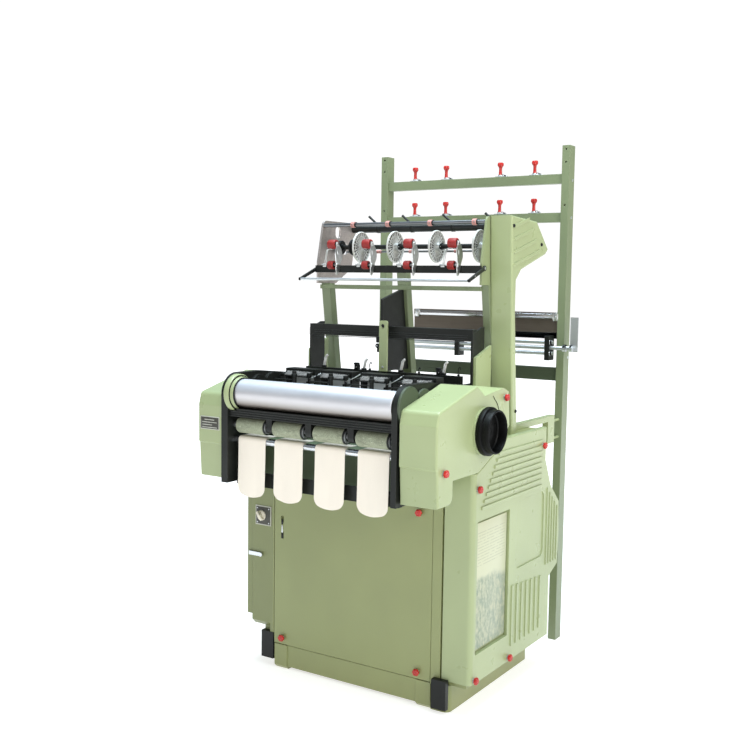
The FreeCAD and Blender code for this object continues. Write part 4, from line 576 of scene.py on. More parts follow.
NODE_FINISHES = {
    "body enamel": ("base_plinth", "cabinet", "front_panel", "side_door"),
    "post enamel": ("left_post", "right_post", "creel_bars", "upright_frame"),
    "cover enamel": ("right_side_cover", "left_head_housing", "right_head_housing",
                     "tube_flanges", "column_cover", "gussets", "centre_strap", "stay_beams"),
    "bed paint": ("lower_rear_bar",),
    "lit bed paint": ("head_deck",),
    "black paint": ("left_side_plate", "right_side_plate", "lower_bar", "grooved_bar",
                    "lever_rail", "harness_frame", "centre_plate", "feeder_tube", "feeder_bar",
                    "warp_brackets", "feed_shaft", "bail", "sley", "weft_needle_1",
                    "weft_needle_2", "weft_needle_3", "weft_needle_4"),
    "black plastic": ("toe_blocks", "handwheel"),
    "plate edge": ("switch_plate", "switch_knob"),
    "steel": ("main_shaft", "reeds", "stop_levers", "guide_rails", "warp_rods"),
    "guard sheet": ("warp_guard",),
    "drawn chrome": ("press_rod", "feeder_arms", "door_latch"),
    "matt aluminium": ("breast_tube",),
    "feeder plate": ("feeder_plates",),
    "sleeve grit": ("take_up_roller",),
    "red rubber": ("press_roller_1", "press_roller_2", "press_roller_3", "press_roller_4",
                   "lower_rollers"),
    "clear plastic": ("feed_discs",),
    "red plastic": ("cover_knobs", "creel_knobs"),
}


class LOOM_OT_finishes(Operator):
    """Make the materials and give each frame node its own"""
    bl_idname = "loom.finishes"
    bl_label = "Finishes"

    def execute(self, context):
        colours = context.scene.loom_colours
        # The body enamel carries painted shade on the control box at its left end.
        enamel("body enamel", tuple(colours.body), painted_shade_left=0.74)
        enamel("post enamel", linear(124, 134, 101))
        enamel("cover enamel", tuple(colours.cover), 0.30)
        enamel("bed paint", tuple(colours.bed), 0.5)
        # Painted light: the deck takes the bed paint made twice as light, to lift it out of its shade.
        enamel("lit bed paint", shade(colours.bed, 2.0), 0.5)
        black_paint("black paint", tuple(colours.black))
        plastic("black plastic", linear(18, 19, 18), 0.36, 0.3)
        plastic("cream plastic", linear(226, 216, 196), 0.35)
        plastic("lever plastic", linear(214, 210, 204), 0.4)
        plastic("plate edge", linear(188, 186, 172), 0.5)
        plastic("plate field", linear(66, 63, 55), 0.45)
        label_field("label field", linear(196, 196, 166), linear(142, 154, 134))
        plastic("red plastic", tuple(colours.red), 0.28)
        metal("steel", linear(176, 178, 180), 0.34, (0.05, 1, 1))
        metal("rail steel", linear(138, 139, 141), 0.30, (0.05, 1, 1))
        plastic("grey wire", linear(150, 146, 142), 0.5)
        metal("guard sheet", linear(118, 108, 98), 0.5, (0.03, 1, 1), scale=60)
        metal("drawn chrome", linear(215, 216, 218), 0.16, (0.02, 1, 1), 0.00002)
        # The breast tube's brown underside colour is a painted reflection and shade.
        rolled_tube("matt aluminium", linear(236, 234, 238), linear(132, 118, 104),
                    middle_of("breast_tube").z)
        # The right feeder plate's colour is the cover enamel darkened to 0.72 as painted shade.
        feeder_plate("feeder plate", linear(212, 201, 195), shade(colours.cover, 0.72))
        metal("dark metal", linear(70, 71, 70), 0.4, (0.05, 1, 1))
        metal("cast bright", linear(236, 236, 234), 0.34, (1, 1, 1), 0.0002, 120)
        rubber("sleeve grit", linear(158, 162, 136), 0.7, 420, 0.0012, worn=0.7)
        rubber("red rubber", linear(150, 34, 30), 0.55, 300, 0.0002)
        plastic("pink plastic", linear(202, 142, 134), 0.5)
        plastic("wheel plastic", linear(10, 10, 9), 0.46, 0.14)
        clear("clear plastic", linear(228, 226, 220), 0.95)
        clear("clear sheet", linear(78, 70, 62), 0.62)
        woven("woven tape", tuple(colours.tape))
        for finish, members in NODE_FINISHES.items():
            for member in members:
                data = nodes[member].data
                data.materials.clear()
                data.materials.append(bpy.data.materials[finish])
        return {"FINISHED"}


class LOOM_OT_tapes(Operator):
    """Hang the four woven tapes over the press rod"""
    bl_idname = "loom.tapes"
    bl_label = "Tapes"

    corner = 0.019
    sag = 0.016
    lean = 0.004

    def execute(self, context):
        sizes = context.scene.loom_sizes
        low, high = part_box("tapes")
        _, centre, _, radius = turned(*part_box("press_rod"))
        around = radius * MM + sizes.tape_thickness
        for index, lane in enumerate(LANES, start=1):
            centre.x = lane
            self.hang(index, centre, around, centre.z - low.z, high.y - centre.y, sizes)
        return {"FINISHED"}

    def hang(self, index, centre, around, drop, tail, sizes):
        """One tape: a sheet bent over the rod, with rounded corners and a bowed end."""
        build = Build()
        width, corner = sizes.tape_width, self.corner
        half = width / 2
        bend = around * math.pi / 2
        length = tail + bend + drop
        bmesh.ops.create_grid(build.mesh, x_segments=30, y_segments=70, size=0.5,
                              matrix=Matrix.Translation((0, 0.5, 0)))
        for point in build.mesh.verts:
            share = math.sin(point.co.x * math.pi)
            inner = max(0.0, (abs(share) * half - (half - corner)) / corner)
            short = self.sag * share ** 2 + corner * (1 - math.sqrt(max(0.0, 1 - inner ** 2)))
            along = point.co.y * (length - short * point.co.y ** 6)
            across = share * half
            if along < tail:
                y, z = tail - along, around
            elif along < tail + bend:
                angle = (along - tail) / around
                y, z = -math.sin(angle) * around, math.cos(angle) * around
            else:
                fallen = (along - tail - bend) / drop
                ripple = math.sin(across * 40 + index * 2.1) * fallen
                y = -around - sizes.tape_wave * abs(ripple) - self.lean * fallen ** 2
                z = -fallen * drop
            point.co = centre + Vector((across, y, z))
        for face in build.mesh.faces:
            face.smooth = True
        bmesh.ops.recalc_face_normals(build.mesh, faces=build.mesh.faces)
        piece = build.finish("tape_%d" % index, "frame", "woven_tape", "woven tape",
                             smooth=3, node="tapes")
        thick = piece.modifiers.new("thickness", "SOLIDIFY")
        thick.thickness = sizes.tape_thickness
        thick.offset = 0
        cut_off = self.sag * width / 2 + (2 - math.pi / 2) * corner ** 2
        width * length - cut_off


class LOOM_OT_hand_screws(Operator):
    """Shape the lobed hand screws of the covers"""
    bl_idname = "loom.hand_screws"
    bl_label = "Hand screws"

    def execute(self, context):
        lobes = context.scene.loom_sizes.screw_lobes
        build = Build()
        for low, high in loose_parts("cover_knobs"):
            size, middle = high - low, (low + high) / 2
            axis = min(range(3), key=lambda index: size[index])
            way = -1 if axis == 1 or middle.x < 0 else 1
            out = Vector([way if index == axis else 0 for index in range(3)])
            foot = middle - out * size[axis] / 2
            build.lathe(foot, [(0, 0), (8.5, 0), (8.5, 1.6), (6.2, 1.8), (6.2, 4.2), (0, 4.2)],
                        1, 24, out)
            build.lathe(foot, [(0, 4), (9.8, 4), (12.4, 5.6), (13, 7.8), (13, 11.6), (12.1, 14.2),
                               (9.8, 15.8), (8.2, 16), (7.4, 15.2), (0, 15)],
                        0, 48, out, flutes=(lobes, 0.13, 9.5))
            build.drum(foot + out * 0.0152, 3, 1.6, 0, 12, out, 0.4)
        build.finish("hand_screws", "frame", "red_plastic", "red plastic", "steel",
                     node="cover_knobs")
        return {"FINISHED"}


class LOOM_OT_creel_knobs(Operator):
    """Shape the yarn knobs of the creel bars with their clips"""
    bl_idname = "loom.creel_knobs"
    bl_label = "Creel knobs"

    def execute(self, context):
        build = Build()
        for low, high in loose_parts("creel_knobs"):
            foot = (low + high) / 2
            foot.z = low.z
            if high.z - low.z > 0.03:
                build.lathe(foot, [(0, 0), (15, 0), (15.2, 2.2), (11.8, 4.2), (9.5, 4.8),
                                   (9.5, 9.5), (0, 9.5)], 1, 32, Z)
                build.lathe(foot, [(0, 9), (7.8, 9), (6.8, 16), (6.2, 30), (6.8, 38), (10, 42.5),
                                   (13.4, 46.5), (13.7, 53), (12.4, 57.5), (9.6, 59.2),
                                   (7.2, 57.6), (0, 57.2)], 0, 40, Z, flutes=(6, 0.14, 9.8))
                build.slabs(foot, 1, (-20, -11, 0, 26, 11, 3, 0.8))
                build.slabs(foot, 2, (18, -10, 2, 26, 8, 7.2, 1))
                build.wire(near(foot, (-6, -14, 2), (10, -15, 2), (20, -10.5, 3.5), (21, -2, 8.5),
                                (12, 3, 11.5), (4, 1, 9.5)), 1.3, 1)
            else:
                build.drum(foot + Z * 0.001, 4.6, 2, 1, 20, Z, 0.4)
                build.lathe(foot, [(0, 2), (3.2, 2), (3.2, 4.8), (1.8, 6), (0, 6)], 1, 16, Z)
                build.slabs(foot, 1, (-13, -4, 0, -3, 4, 1.4, 0.4))
        build.finish("creel_knob_set", "frame", "red_plastic", "red plastic", "steel",
                     "black plastic", node="creel_knobs")
        return {"FINISHED"}


class LOOM_OT_handwheel(Operator):
    """Turn the handwheel with its rolled rim and grip rings"""
    bl_idname = "loom.handwheel"
    bl_label = "Handwheel"

    def execute(self, context):
        back, _, depth, outer = turned(*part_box("handwheel"))
        rim = outer - 8
        build = Build()
        build.lathe(back, [
            (12.6, 0), (outer - 3, 0), (outer - 0.6, 1.2), (outer, 3), (outer, 15),
            (outer - 0.8, 17.2), (outer - 3, 18.2), (rim, 19.6), (rim, 26.2), (rim - 0.6, 26.8),
            (rim, 27.4), (rim, depth - 4), (rim - 1.2, depth - 1.2), (rim - 3.5, depth),
            (rim - 5.8, depth - 1.2), (rim - 7, depth - 4), (rim - 8.5, 12.5), (rim - 12, 9.5),
            (30, 9), (28, 12.5), (12.6, 12.5)], 0, 72, ring=True)
        build.lathe(back, [(0, 8), (12.5, 8), (12.5, 10.5), (11.2, 11.8), (0, 12)], 0, 32)
        for turn in range(3):
            angle = turn * math.tau / 3 + 0.4
            spot = back + mm(9.8, math.cos(angle) * 44, math.sin(angle) * 44)
            build.drum(spot, 4.2, 3.5, 0, 6, rounding=0.4)
        build.finish("handwheel_rim", "drive", "black_plastic", "wheel plastic", node="handwheel")
        return {"FINISHED"}


class LOOM_OT_take_up(Operator):
    """Turn the four take-up sleeves and bolt the shaft hangers"""
    bl_idname = "loom.take_up"
    bl_label = "Take-up shaft"

    def execute(self, context):
        _, middle, length, _ = turned(*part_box("take_up_roller"))
        build = Build()
        build.drum(middle, 10, length, 2, 36, rounding=1)
        for lane in LANES:
            spot = Vector((lane, middle.y, middle.z))
            build.lathe(spot, [(10.1, -63), (24, -63), (27, -61.5), (28, -59), (28, 57), (10.1, 57)],
                        0, 56, ring=True)
            build.lathe(spot, [(10.1, 57), (27.4, 57), (27.8, 60), (26, 63), (10.1, 63)],
                        1, 56, ring=True)
            build.lathe(spot, [(16, 62), (23.5, 62), (22.8, 63.7), (16, 63.7)], 2, 48, ring=True)
        build.finish("take_up_sleeves", "take_up", "roller_rubber", "sleeve grit", "black paint",
                     "steel", node="take_up_roller")
        bolts = Build()
        for left, right in zip(LANES, LANES[1:]):
            side = Vector(((left + right) / 2 + 0.012, middle.y, middle.z))
            for y, z, size in ((0, 0, 5.5), (12, 22, 3), (-12, 22, 3)):
                bolts.drum(side + mm(1.2, y, z), size, 2.8, 0, 6, rounding=0.5)
            bolts.collar(side, 7.5, 10.5, 0, 1.2, 1, 32)
        bolts.finish("hanger_bolts", "frame", "steel", "black plastic", "steel")
        return {"FINISHED"}


class LOOM_OT_breast_tube(Operator):
    """Turn the breast tube and its end flanges"""
    bl_idname = "loom.breast_tube"
    bl_label = "Breast tube"

    def execute(self, context):
        end, middle, length, radius = turned(*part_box("breast_tube"))
        build = Build()
        build.collar(end, radius - 3, radius, 0, length, 0, 96, cut=(0.8, 0.8))
        build.finish("breast_tube_skin", "frame", "aluminium", "matt aluminium", node="breast_tube")
        flanges = Build()
        (left, _), *_, (side, side_end) = loose_parts("tube_flanges")
        start = Vector((left.x, middle.y, middle.z))
        flanges.lathe(start, [(0, 0), (64, 0), (66, 2), (66, 18), (64, 21), (58, 22), (57, 23.5),
                              (57, 32), (55.5, 34), (0, 34)], 0, 72)
        wall = (side_end.x - side.x) / MM
        for y, size in ((-0.520, 66), (-0.430, 52)):
            flanges.lathe((side.x, y, middle.z), [(0, 0), (size, 0), (size, wall - 2),
                                                  (size - 2, wall), (0, wall)], 1, 64)
        flanges.lathe(start, [(50, 33.5), (54.8, 33.5), (55.2, 37.5), (50, 37.5)], 2, 72, ring=True)
        flanges.collar(start, 57.5, 62.5, 21.5, 22.8, 2, 72)
        flanges.finish("tube_flange_discs", "frame", "light_green_paint", "cover enamel",
                       "bed paint", "black plastic", node="tube_flanges")
        return {"FINISHED"}


class LOOM_OT_feed_discs(Operator):
    """Mould the clear spoked feed discs and their hubs"""
    bl_idname = "loom.feed_discs"
    bl_label = "Feed discs"

    def execute(self, context):
        _, middle, _, radius = turned(*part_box("feed_discs"))
        spokes = context.scene.loom_sizes.disc_spokes
        reach = (radius - 15) / 2
        build = Build()
        for lane in FEED_LANES:
            spot = Vector((lane, middle.y, middle.z))
            build.lathe(spot, [(radius - 3.6, -3.5), (radius - 1.4, -4.5), (radius, -3), (radius, 3),
                               (radius - 1.4, 4.5), (radius - 3.6, 3.5)], 0, 72, ring=True)
            build.collar(spot, 40, 41.2, -1.2, 1.6, 0, 56)
            for index in range(spokes):
                turn = turn_about("X", index * 360 / spokes)
                build.slabs(spot + turn @ mm(0, reach + 13, 0), 0,
                            (-2, -reach, -0.85, 2, reach, 0.85, 0), turn=turn)
            for material, steps, *profile in (
                    (3, 48, (13, -0.8), (radius - 3, -2.6), (radius - 3, -3.2), (13, -1.6)),
                    (1, 40, (9.3, -4.5), (15, -4.5), (16, -3), (15, 6), (13.8, 16.5), (9.3, 17)),
                    (2, 32, (9.3, 17.2), (11.8, 17.2), (12.4, 18.2), (12.4, 26.2), (11.2, 27.2),
                     (9.3, 27.2))):
                build.lathe(spot, profile, material, steps, ring=True)
            build.drum(spot + mm(22.2, -12.2, 0), 1.8, 3, 1, 6, Y)
        build.finish("feed_disc_set", "feed", "clear_plastic", "clear plastic", "cast bright",
                     "black plastic", "clear sheet", node="feed_discs")
        hubs = Build()
        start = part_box("feeder_plates")[0].x
        for offset, size, depth in ((0.022, 27, 14), (0.082, 31, 10)):
            hubs.lathe((start + offset, middle.y, middle.z), [
                (9.3, 0), (size - 2, 0), (size, 2), (size, depth - 2), (size - 2, depth),
                (14, depth), (14, depth + 6), (9.3, depth + 6)], 0, 48, ring=True)
        hubs.finish("feed_hubs", "feed", "black_plastic", "black plastic")
        return {"FINISHED"}


class LOOM_OT_press_rollers(Operator):
    """Mould the red pressure rollers and bend their arms"""
    bl_idname = "loom.press_rollers"
    bl_label = "Pressure rollers"

    def execute(self, context):
        uppers = ["press_roller_%d" % index for index in range(1, 5)]
        for index, node in enumerate(uppers, start=1):
            build = Build()
            self.roller(build, *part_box(node))
            build.finish("press_sleeve_%d" % index, "roller_%d" % index, "red_rubber",
                         "red rubber", "black plastic", node=node)
        build = Build()
        lowers = loose_parts("lower_rollers")
        for low, high in lowers:
            self.roller(build, low, high)
        build.finish("lower_sleeves", "frame", "red_rubber", "red rubber", "black plastic",
                     node="lower_rollers")
        build = Build()
        for upper, lower in zip(uppers, lowers):
            self.arm(build, *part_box(upper), *lower)
        build.finish("roller_arms", "frame", "chrome", "cast bright", node="feeder_arms")
        return {"FINISHED"}

    def roller(self, build, low, high):
        """A rubber sleeve with rounded rims on a dark core."""
        _, spot, length, radius = turned(low, high)
        half, core = length / 2, radius * 0.66
        build.lathe(spot, [
            (core, -half), (radius - 3.5, -half), (radius - 1, 1.2 - half), (radius, 3.6 - half),
            (radius, half - 3.6), (radius - 1, half - 1.2), (radius - 3.5, half), (core, half)],
            0, 44, ring=True)
        build.collar(spot, 4.2, core, 0.8 - half, half - 0.8, 1, 36)

    def arm(self, build, low, high, under_low, under_high):
        """A bright bent arm with both roller pins, and a yarn guide with its lug on the bar."""
        bar_low, bar_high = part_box("feeder_bar")
        upper, under = (low + high) / 2, (under_low + under_high) / 2
        side = high.x + 0.0006
        face = bar_low.y - 0.0060
        build.ribbon(path((upper.y, upper.z, (-2, 10), (2, -4), (14, -22), (19, -44)),
                          (face, upper.z, (-6, -66)),
                          (face, under.z, (-9, -6), (-11, -22), (-16, -37))), 29, side, 3.5, 0.74)
        build.ribbon(path((upper.y, upper.z, (-4, -12), (-8, -30), (-4, -50)),
                          (under.y, under.z, (-1, 4), (0, -8))), 12, side + 0.0004, 4.2, 0.4)
        for pin, start in ((upper, low.x - 0.003), (under, under_low.x - 0.002)):
            build.drum(((start + side) / 2, pin.y, pin.z), 4, (side - start) / MM + 4, 0, 20)
            build.drum((start - 0.0008, pin.y, pin.z), 6.8, 2.6, 0, 6, rounding=0.4)
            build.drum((side + 0.0052, pin.y, pin.z), 6.2, 3, 0, 24, rounding=0.6)
        lug = Vector((low.x - 0.036, (bar_low.y + bar_high.y) / 2, bar_high.z))
        build.slabs(lug, 0, (-8, -5, -6, 8, 5, 4, 1.2))
        build.drum(lug + mm(0, -1, 7), 4.2, 6, 0, 6, Z, 0.5)
        build.drum(lug + mm(-9, -1, 3), 3, 10, 0, 12)
        for offset, swell in ((0, 0), (6, 4)):
            loop = Vector((low.x + swell * MM, upper.y, upper.z))
            build.wire(near(lug, (offset, -2, 6), (4 + offset, -6, 22), (16 + swell, -15, 44))
                       + near(loop, (-8, -6, -22), (4, -8, -16), (14, -4, -19)), 1.3)


class LOOM_OT_feeder_trim(Operator):
    """Fit the feeder's guide rods with their pink collars, its fingers and the bail's sleeve"""
    bl_idname = "loom.feeder_trim"
    bl_label = "Feeder trim"

    collar_places = (-0.195, -0.046, 0.152)
    bail_tip = (-0.158, 1.460)
    bail_boss = (-0.044, 1.504)
    bail_rivet = (-0.120, 1.4753)

    def execute(self, context):
        rails = Build()
        rods = loose_parts("guide_rails")
        guide, rail = (pick(rods, key=lambda box: box[1].z) for pick in (min, max))
        _, middle, length, _ = turned(*guide)
        rails.drum(middle, 4, length, 0, 20)
        for place in self.collar_places:
            spot = Vector((place, middle.y, middle.z))
            rails.collar(spot, 4.1, 6.8, -11, 11, 2, 24, cut=(0.6, 1))
            rails.drum(spot + mm(6, -7, 0), 2, 3, 0, 6, Y)
        _, middle, length, _ = turned(*rail)
        middle.z -= 0.0015
        rails.drum(middle, 7.5, length)
        for lane in FEED_LANES:
            spot = Vector((lane + 0.021, middle.y, middle.z))
            rails.collar(spot, 7.6, 11.4, -8, 8, 2, 32, cut=(0.8, 1))
            rails.drum(spot + mm(1, -11.2, 0), 2.6, 2, 0, 6, Y)
            rails.collar(spot + X * 0.011, 7.6, 9.8, -2.5, 2.5, 3, 28)
        rails.finish("feeder_rails", "frame", "steel", "rail steel", "cast bright", "pink plastic",
                     "dark metal", node="guide_rails")

        bar = Build()
        low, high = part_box("feeder_tube")
        _, middle, length, _ = turned(low, high)
        middle.z = low.z + 0.0145
        bar.drum(middle, 14.5, length, 0, 40)
        for lane in FEED_LANES:
            spot = Vector((lane, middle.y, middle.z))
            tip, root = near(spot, (-40, 0, 49), (6, 0, 12))
            run = root - tip
            bar.drum((tip + root) / 2, 4.6, run.length / MM, 1, 16, run, end=4)
            bar.drum(tip, 5, 5, 1, 16, run, 1)
            bar.drum(root + mm(4, -4, -6), 5, 10, 1, 20, Y, 1)
            bar.collar(spot + X * 0.006, 14.3, 16.4, -6, 6, 1, 36)
        bar.finish("feeder_tube_skin", "frame", "black_paint", "dark metal", "black paint",
                   node="feeder_tube")

        sleeve = Build()
        low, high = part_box("bail")
        sleeve.drum(((low.x + high.x) / 2, *self.bail_tip), 4.9, (high.x - low.x) / MM - 16, 0, 24)
        for end, way in ((low.x, 1), (high.x, -1)):
            sleeve.drum((end + way * 0.0012, *self.bail_tip), 6.2, 4, 1, 24, rounding=0.8)
            sleeve.drum((end + way * 0.0012, *self.bail_boss), 6, 3.4, 0, 6, rounding=0.6)
            sleeve.drum((end + way * 0.0010, *self.bail_rivet), 2.8, 3, 0, 6)
        sleeve.finish("bail_sleeve", "bail_body", "steel", "steel", "black plastic")
        return {"FINISHED"}


class LOOM_OT_stop_levers(Operator):
    """Set the stop levers, hooks and sensor boxes on the lever rail"""
    bl_idname = "loom.stop_levers"
    bl_label = "Stop levers"

    def execute(self, context):
        low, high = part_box("lever_rail")
        lever, hook, box = self.lever, self.hook, self.box
        lane_sets = (
            ((lever, 0, 0, 1.0),),
            ((hook, 42, 0, 30), (lever, 16, -2, 0.90), (box, -14, 0)),
            ((lever, 0, 0, 1.0), (hook, 76, 0, 22)),
            ((lever, 0, 0, 1.0), (box, -17, 0), (hook, 60, 0, 32)))
        build = Build()
        for index, (lane, lane_set) in enumerate(zip(LANES, lane_sets)):
            foot = Vector((lane - 0.004 + index * 0.005, (low.y + high.y) / 2, high.z))
            for shape, along, up, *size in lane_set:
                shape(build, foot + mm(along, 0, up), *size)
        build.finish("lever_set", "frame", "steel", "lever plastic", "black plastic", "steel",
                     node="stop_levers")
        return {"FINISHED"}

    def lever(self, build, foot, size):
        """A pale S-shaped lever on its dark foot, with a pin through it."""
        build.slabs(foot, 1, (-9, -6, -3, 9, 6, 8, 1.5))
        low, high = near(foot, [size * step for step in (-1.4, -2.6, 4)],
                         [size * step for step in (9.4, 2.6, 41)])
        build.slab(low, high, 0, 1.6, turn_about("Y", 13))
        build.slabs(foot + mm(11.2, 0, 42.5) * size, 0, (-4.6, -2.6, -7.8, 4.6, 2.6, 7.8, 1.8),
                    turn=turn_about("Y", 48))
        build.drum(foot + mm(1, -3, 10), 3, 4, 2, 12, Y, 0.5)

    def hook(self, build, foot, height):
        """A dark wire hook that stands on the rail."""
        build.wire([foot + mm(x, 0, z) * height for x, z in (
            (0, -0.05), (0.02, 0.35), (-0.06, 0.60), (0.02, 0.85), (0.14, 1.0), (0.24, 0.88),
            (0.20, 0.72))], 1.7, 1)
        build.slabs(foot, 1, (-4, -3, -1, 4, 3, 6, 1))

    def box(self, build, foot):
        """A small black sensor box with its cap and screw."""
        build.slabs(foot, 1, (-9, -8, -2, 9, 8, 18, 1.6), (-11.5, -7, 17.5, 7, 7, 25, 1.6))
        build.drum(foot + mm(2, -8, 9), 2.4, 2, 2, 12, Y)


class LOOM_OT_sley_mats(Operator):
    """Lay the wire mats, tie rods and clamps along the sley"""
    bl_idname = "loom.sley_mats"
    bl_label = "Sley mats"

    mat_height = 1.114
    mat_rise = 14
    mat_reach = 37
    wires = 30
    tie_limit = 0.25

    def execute(self, context):
        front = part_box("sley")[0].y
        build = Build()
        rng = random.Random(11)
        reach = self.mat_reach / 2
        tilt = Matrix.Rotation(math.atan2(self.mat_rise, self.mat_reach), 4, "X")
        for low, high in loose_parts("reeds"):
            centre = Vector(((low.x + high.x) / 2, front - reach * MM, self.mat_height))
            half = (high.x - low.x) / 2 / MM - 4
            build.slabs(centre, 1, (-half, -reach, -3.5, half, reach, 0.5, 0.8), turn=tilt)
            for side in (-half, half):
                build.slabs(centre, 1, (side - 2.2, -reach, -4, side + 2.2, reach, 4.2, 0.8), turn=tilt)
            for index in range(self.wires):
                across = ((index + 0.5) / self.wires * 2 - 1) * (half - 4)
                lift = rng.uniform(0.8, 2.8)
                start = centre + X * across * MM + tilt @ mm(0, -17, lift)
                stop = centre + X * (across + rng.uniform(-1.5, 1.5)) * MM \
                    + tilt @ mm(0, rng.uniform(9, 17), lift + rng.uniform(0, 2))
                run = stop - start
                build.drum((start + stop) / 2, 1.2, run.length / MM, 0, 6, run)
            for along in (-14, -2, 10):
                build.drum(centre + tilt @ mm(0, along, 4.2), 1.1, 2 * half - 4, 0, 8)
            post = Vector((high.x + 0.006, front - 0.036, 1.098))
            build.slabs(post, 1, (-4, -4, -12, 4, 4, 12, 1), (-8, -6, 8, 7, 6, 24, 1.5),
                        (-12, -4, -14, 4, 30, -6, 1))
            build.slabs(Vector((low.x, front, 1.104)), 1, (-6, -37, 0, 14, -19, 12, 2.5))
            if high.x < self.tie_limit:
                build.wire(near(Vector((high.x, front, 1.102)), (8, -40, 0), (12, -20, 4),
                                (17, 16, 14), (22, 46, 26)), 1.6, 2)
        build.finish("sley_mats", "sley_body", "steel", "grey wire", "black paint", "cast bright")
        return {"FINISHED"}


class LOOM_OT_harness_trim(Operator):
    """Fit the hook plates beside the centre strap, its bolts and the ribs of the harness bar"""
    bl_idname = "loom.harness_trim"
    bl_label = "Harness trim"

    hook_height = 1.221

    def execute(self, context):
        low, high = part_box("centre_strap")
        build = Build()
        hook = Vector((low.x, low.y, self.hook_height))
        build.slabs(hook, 0, (-13, -2, 11, 2, 8, 33, 3))
        build.drum(hook + mm(-7, 3, 0), 8.5, 10, 0, 20, Y, 1.5)
        build.slabs(hook, 0, (-9, -1, -23, 1, 8, -5, 2))
        build.drum(hook + mm(-7, -3, 0), 3, 3, 1, 6, Y)
        middle, face = (low.x + high.x) / 2, low.y - 0.0012
        build.drum((middle - 0.001, face, high.z - 0.018), 5.5, 3, 0, 20, Y, 0.8)
        build.drum((middle, face, low.z + 0.016), 4.5, 3, 1, 6, Y, 0.6)
        build.finish("strap_hooks", "frame", "black_plastic", "black plastic", "steel")
        low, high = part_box("harness_frame")
        length = (high.x - low.x) / MM
        ribs = Build()
        for step in range(4):
            ribs.slabs(Vector((low.x, low.y, high.z - 0.030 - step * 0.0075)), 0,
                       (22, -0.8, 0, length - 22, 0.6, 2.2, 0.4))
        ribs.finish("harness_ribs", "frame", "black_paint", "black paint")
        return {"FINISHED"}


class LOOM_OT_plates(Operator):
    """Fit the bare name plate, the label field, the switch and the panel catches"""
    bl_idname = "loom.plates"
    bl_label = "Plates and switch"

    plate_corner = (-0.475, 0.925)
    label_corner = (-0.284, 0.222)
    plate_rules = ((35, 20, 65), (26, 9, 77), (17, 9, 55), (8, 9, 77))
    recess_depth = 0.014
    catch_middle = (-0.3115, 0.5345)
    switch_angle = -38

    def execute(self, context):
        plates = Build()
        left, bottom = self.plate_corner
        corner = Vector((left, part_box("left_head_housing")[0].y, bottom))
        plates.slabs(corner, 0, (0, -1.4, 0, 88, 0.6, 47, 0.6))
        plates.slabs(corner, 1, (3, -1.8, 3, 85, -1, 44, 0.3))
        for up, start, stop in self.plate_rules:
            plates.slabs(corner, 0, (start, -2.1, up - 1.2, stop, -1.6, up + 1.2, 0.1))
        plates.finish("name_plate", "frame", "grey_plate", "plate edge", "plate field")

        label = Build()
        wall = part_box("right_side_cover")[1].x - self.recess_depth
        label.slabs(Vector((wall, *self.label_corner)), 0, (-0.4, 0, 0, 1.2, 231, 434, 0.5))
        label.finish("recess_label", "frame", "grey_plate", "label field")

        low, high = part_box("switch_plate")
        wide, tall = (high.x - low.x) / MM, (high.z - low.z) / MM
        switch = Build()
        switch.slabs(low, 0, (4, -0.9, 4, wide - 4, 0.4, tall - 4, 0.4))
        for along in (10, wide - 10):
            for up in (10, tall - 10):
                switch.drum(low + mm(along, -1.2, up), 2.6, 1.6, 1, 16, Y, 0.3)
        switch.finish("switch_field", "frame", "grey_plate", "plate field", "steel")

        low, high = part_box("switch_knob")
        foot = (low + high) / 2
        foot.y = high.y
        radius = (high.x - low.x) / 2 / MM
        knob = Build()
        knob.lathe(foot, [(0, 0), (radius, 0), (radius, 3), (radius - 1.5, 5.2), (radius - 4, 6),
                          (0, 6)], 0, 48, -Y, flutes=(16, 0.03, radius - 2))
        grip = foot - Y * 0.0118
        lean = turn_about("Y", self.switch_angle)
        knob.slabs(grip, 0, (-6.2, -6, 1 - radius, 6.2, 6, radius - 1, 2.8), turn=lean)
        knob.slabs(grip, 1, (-0.8, -6.3, 4, 0.8, -5.5, radius - 3, 0.2), turn=lean)
        knob.finish("switch_grip", "switch", "grey_plate", "cream plastic", "plate field",
                    node="switch_knob")

        catches = Build()
        across, up = self.catch_middle
        catch = Vector((across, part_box("front_panel")[0].y, up))
        catches.slabs(catch, 0, (-3, -1.4, -14, 3, 0.6, 14, 0.6))
        catches.drum(catch - Y * 0.0020, 2.2, 1.4, 0, 12, Y)
        catches.slabs(catch, 1, (-4, -0.6, 16.5, 4, 0.4, 36.5, 0.4),
                      (-4, -0.6, -36.5, 4, 0.4, -16.5, 0.4))
        catches.finish("panel_catches", "frame", "steel", "steel", "black plastic")
        return {"FINISHED"}


class LOOM_OT_casing_trim(Operator):
    """Fit the screws of the column and the right post, and the lead on the side cover"""
    bl_idname = "loom.casing_trim"
    bl_label = "Casing trim"

    column_screws = ((0.010, 1.653), (0.249, 1.597), (0.062, 0.997))
    post_screws = ((0.602, 1.8646), (0.606, 1.1605), (0.600, 1.718))
    lead_start = (-0.208, 1.078)

    def execute(self, context):
        build = Build()
        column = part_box("column_cover")[1].x - 0.006
        for place in self.column_screws:
            build.lathe((column, *place), [(0, 0), (6.2, 0), (6.2, 6.6), (5.2, 7.8), (2.6, 8),
                                           (2.6, 6.6), (0, 6.6)], 0, 24)
        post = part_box("right_post")[1].x
        for place in self.post_screws:
            build.drum((post, *place), 5.2, 4, 1, 6, rounding=0.7)
        lead = Vector((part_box("right_side_cover")[1].x, *self.lead_start))
        build.wire(near(lead, (0.8, 0, 0), (1, 9, -12), (1, 30, -26), (0.8, 44, -50)), 1.1)
        build.finish("casing_screws", "frame", "black_plastic", "black plastic", "steel")
        return {"FINISHED"}


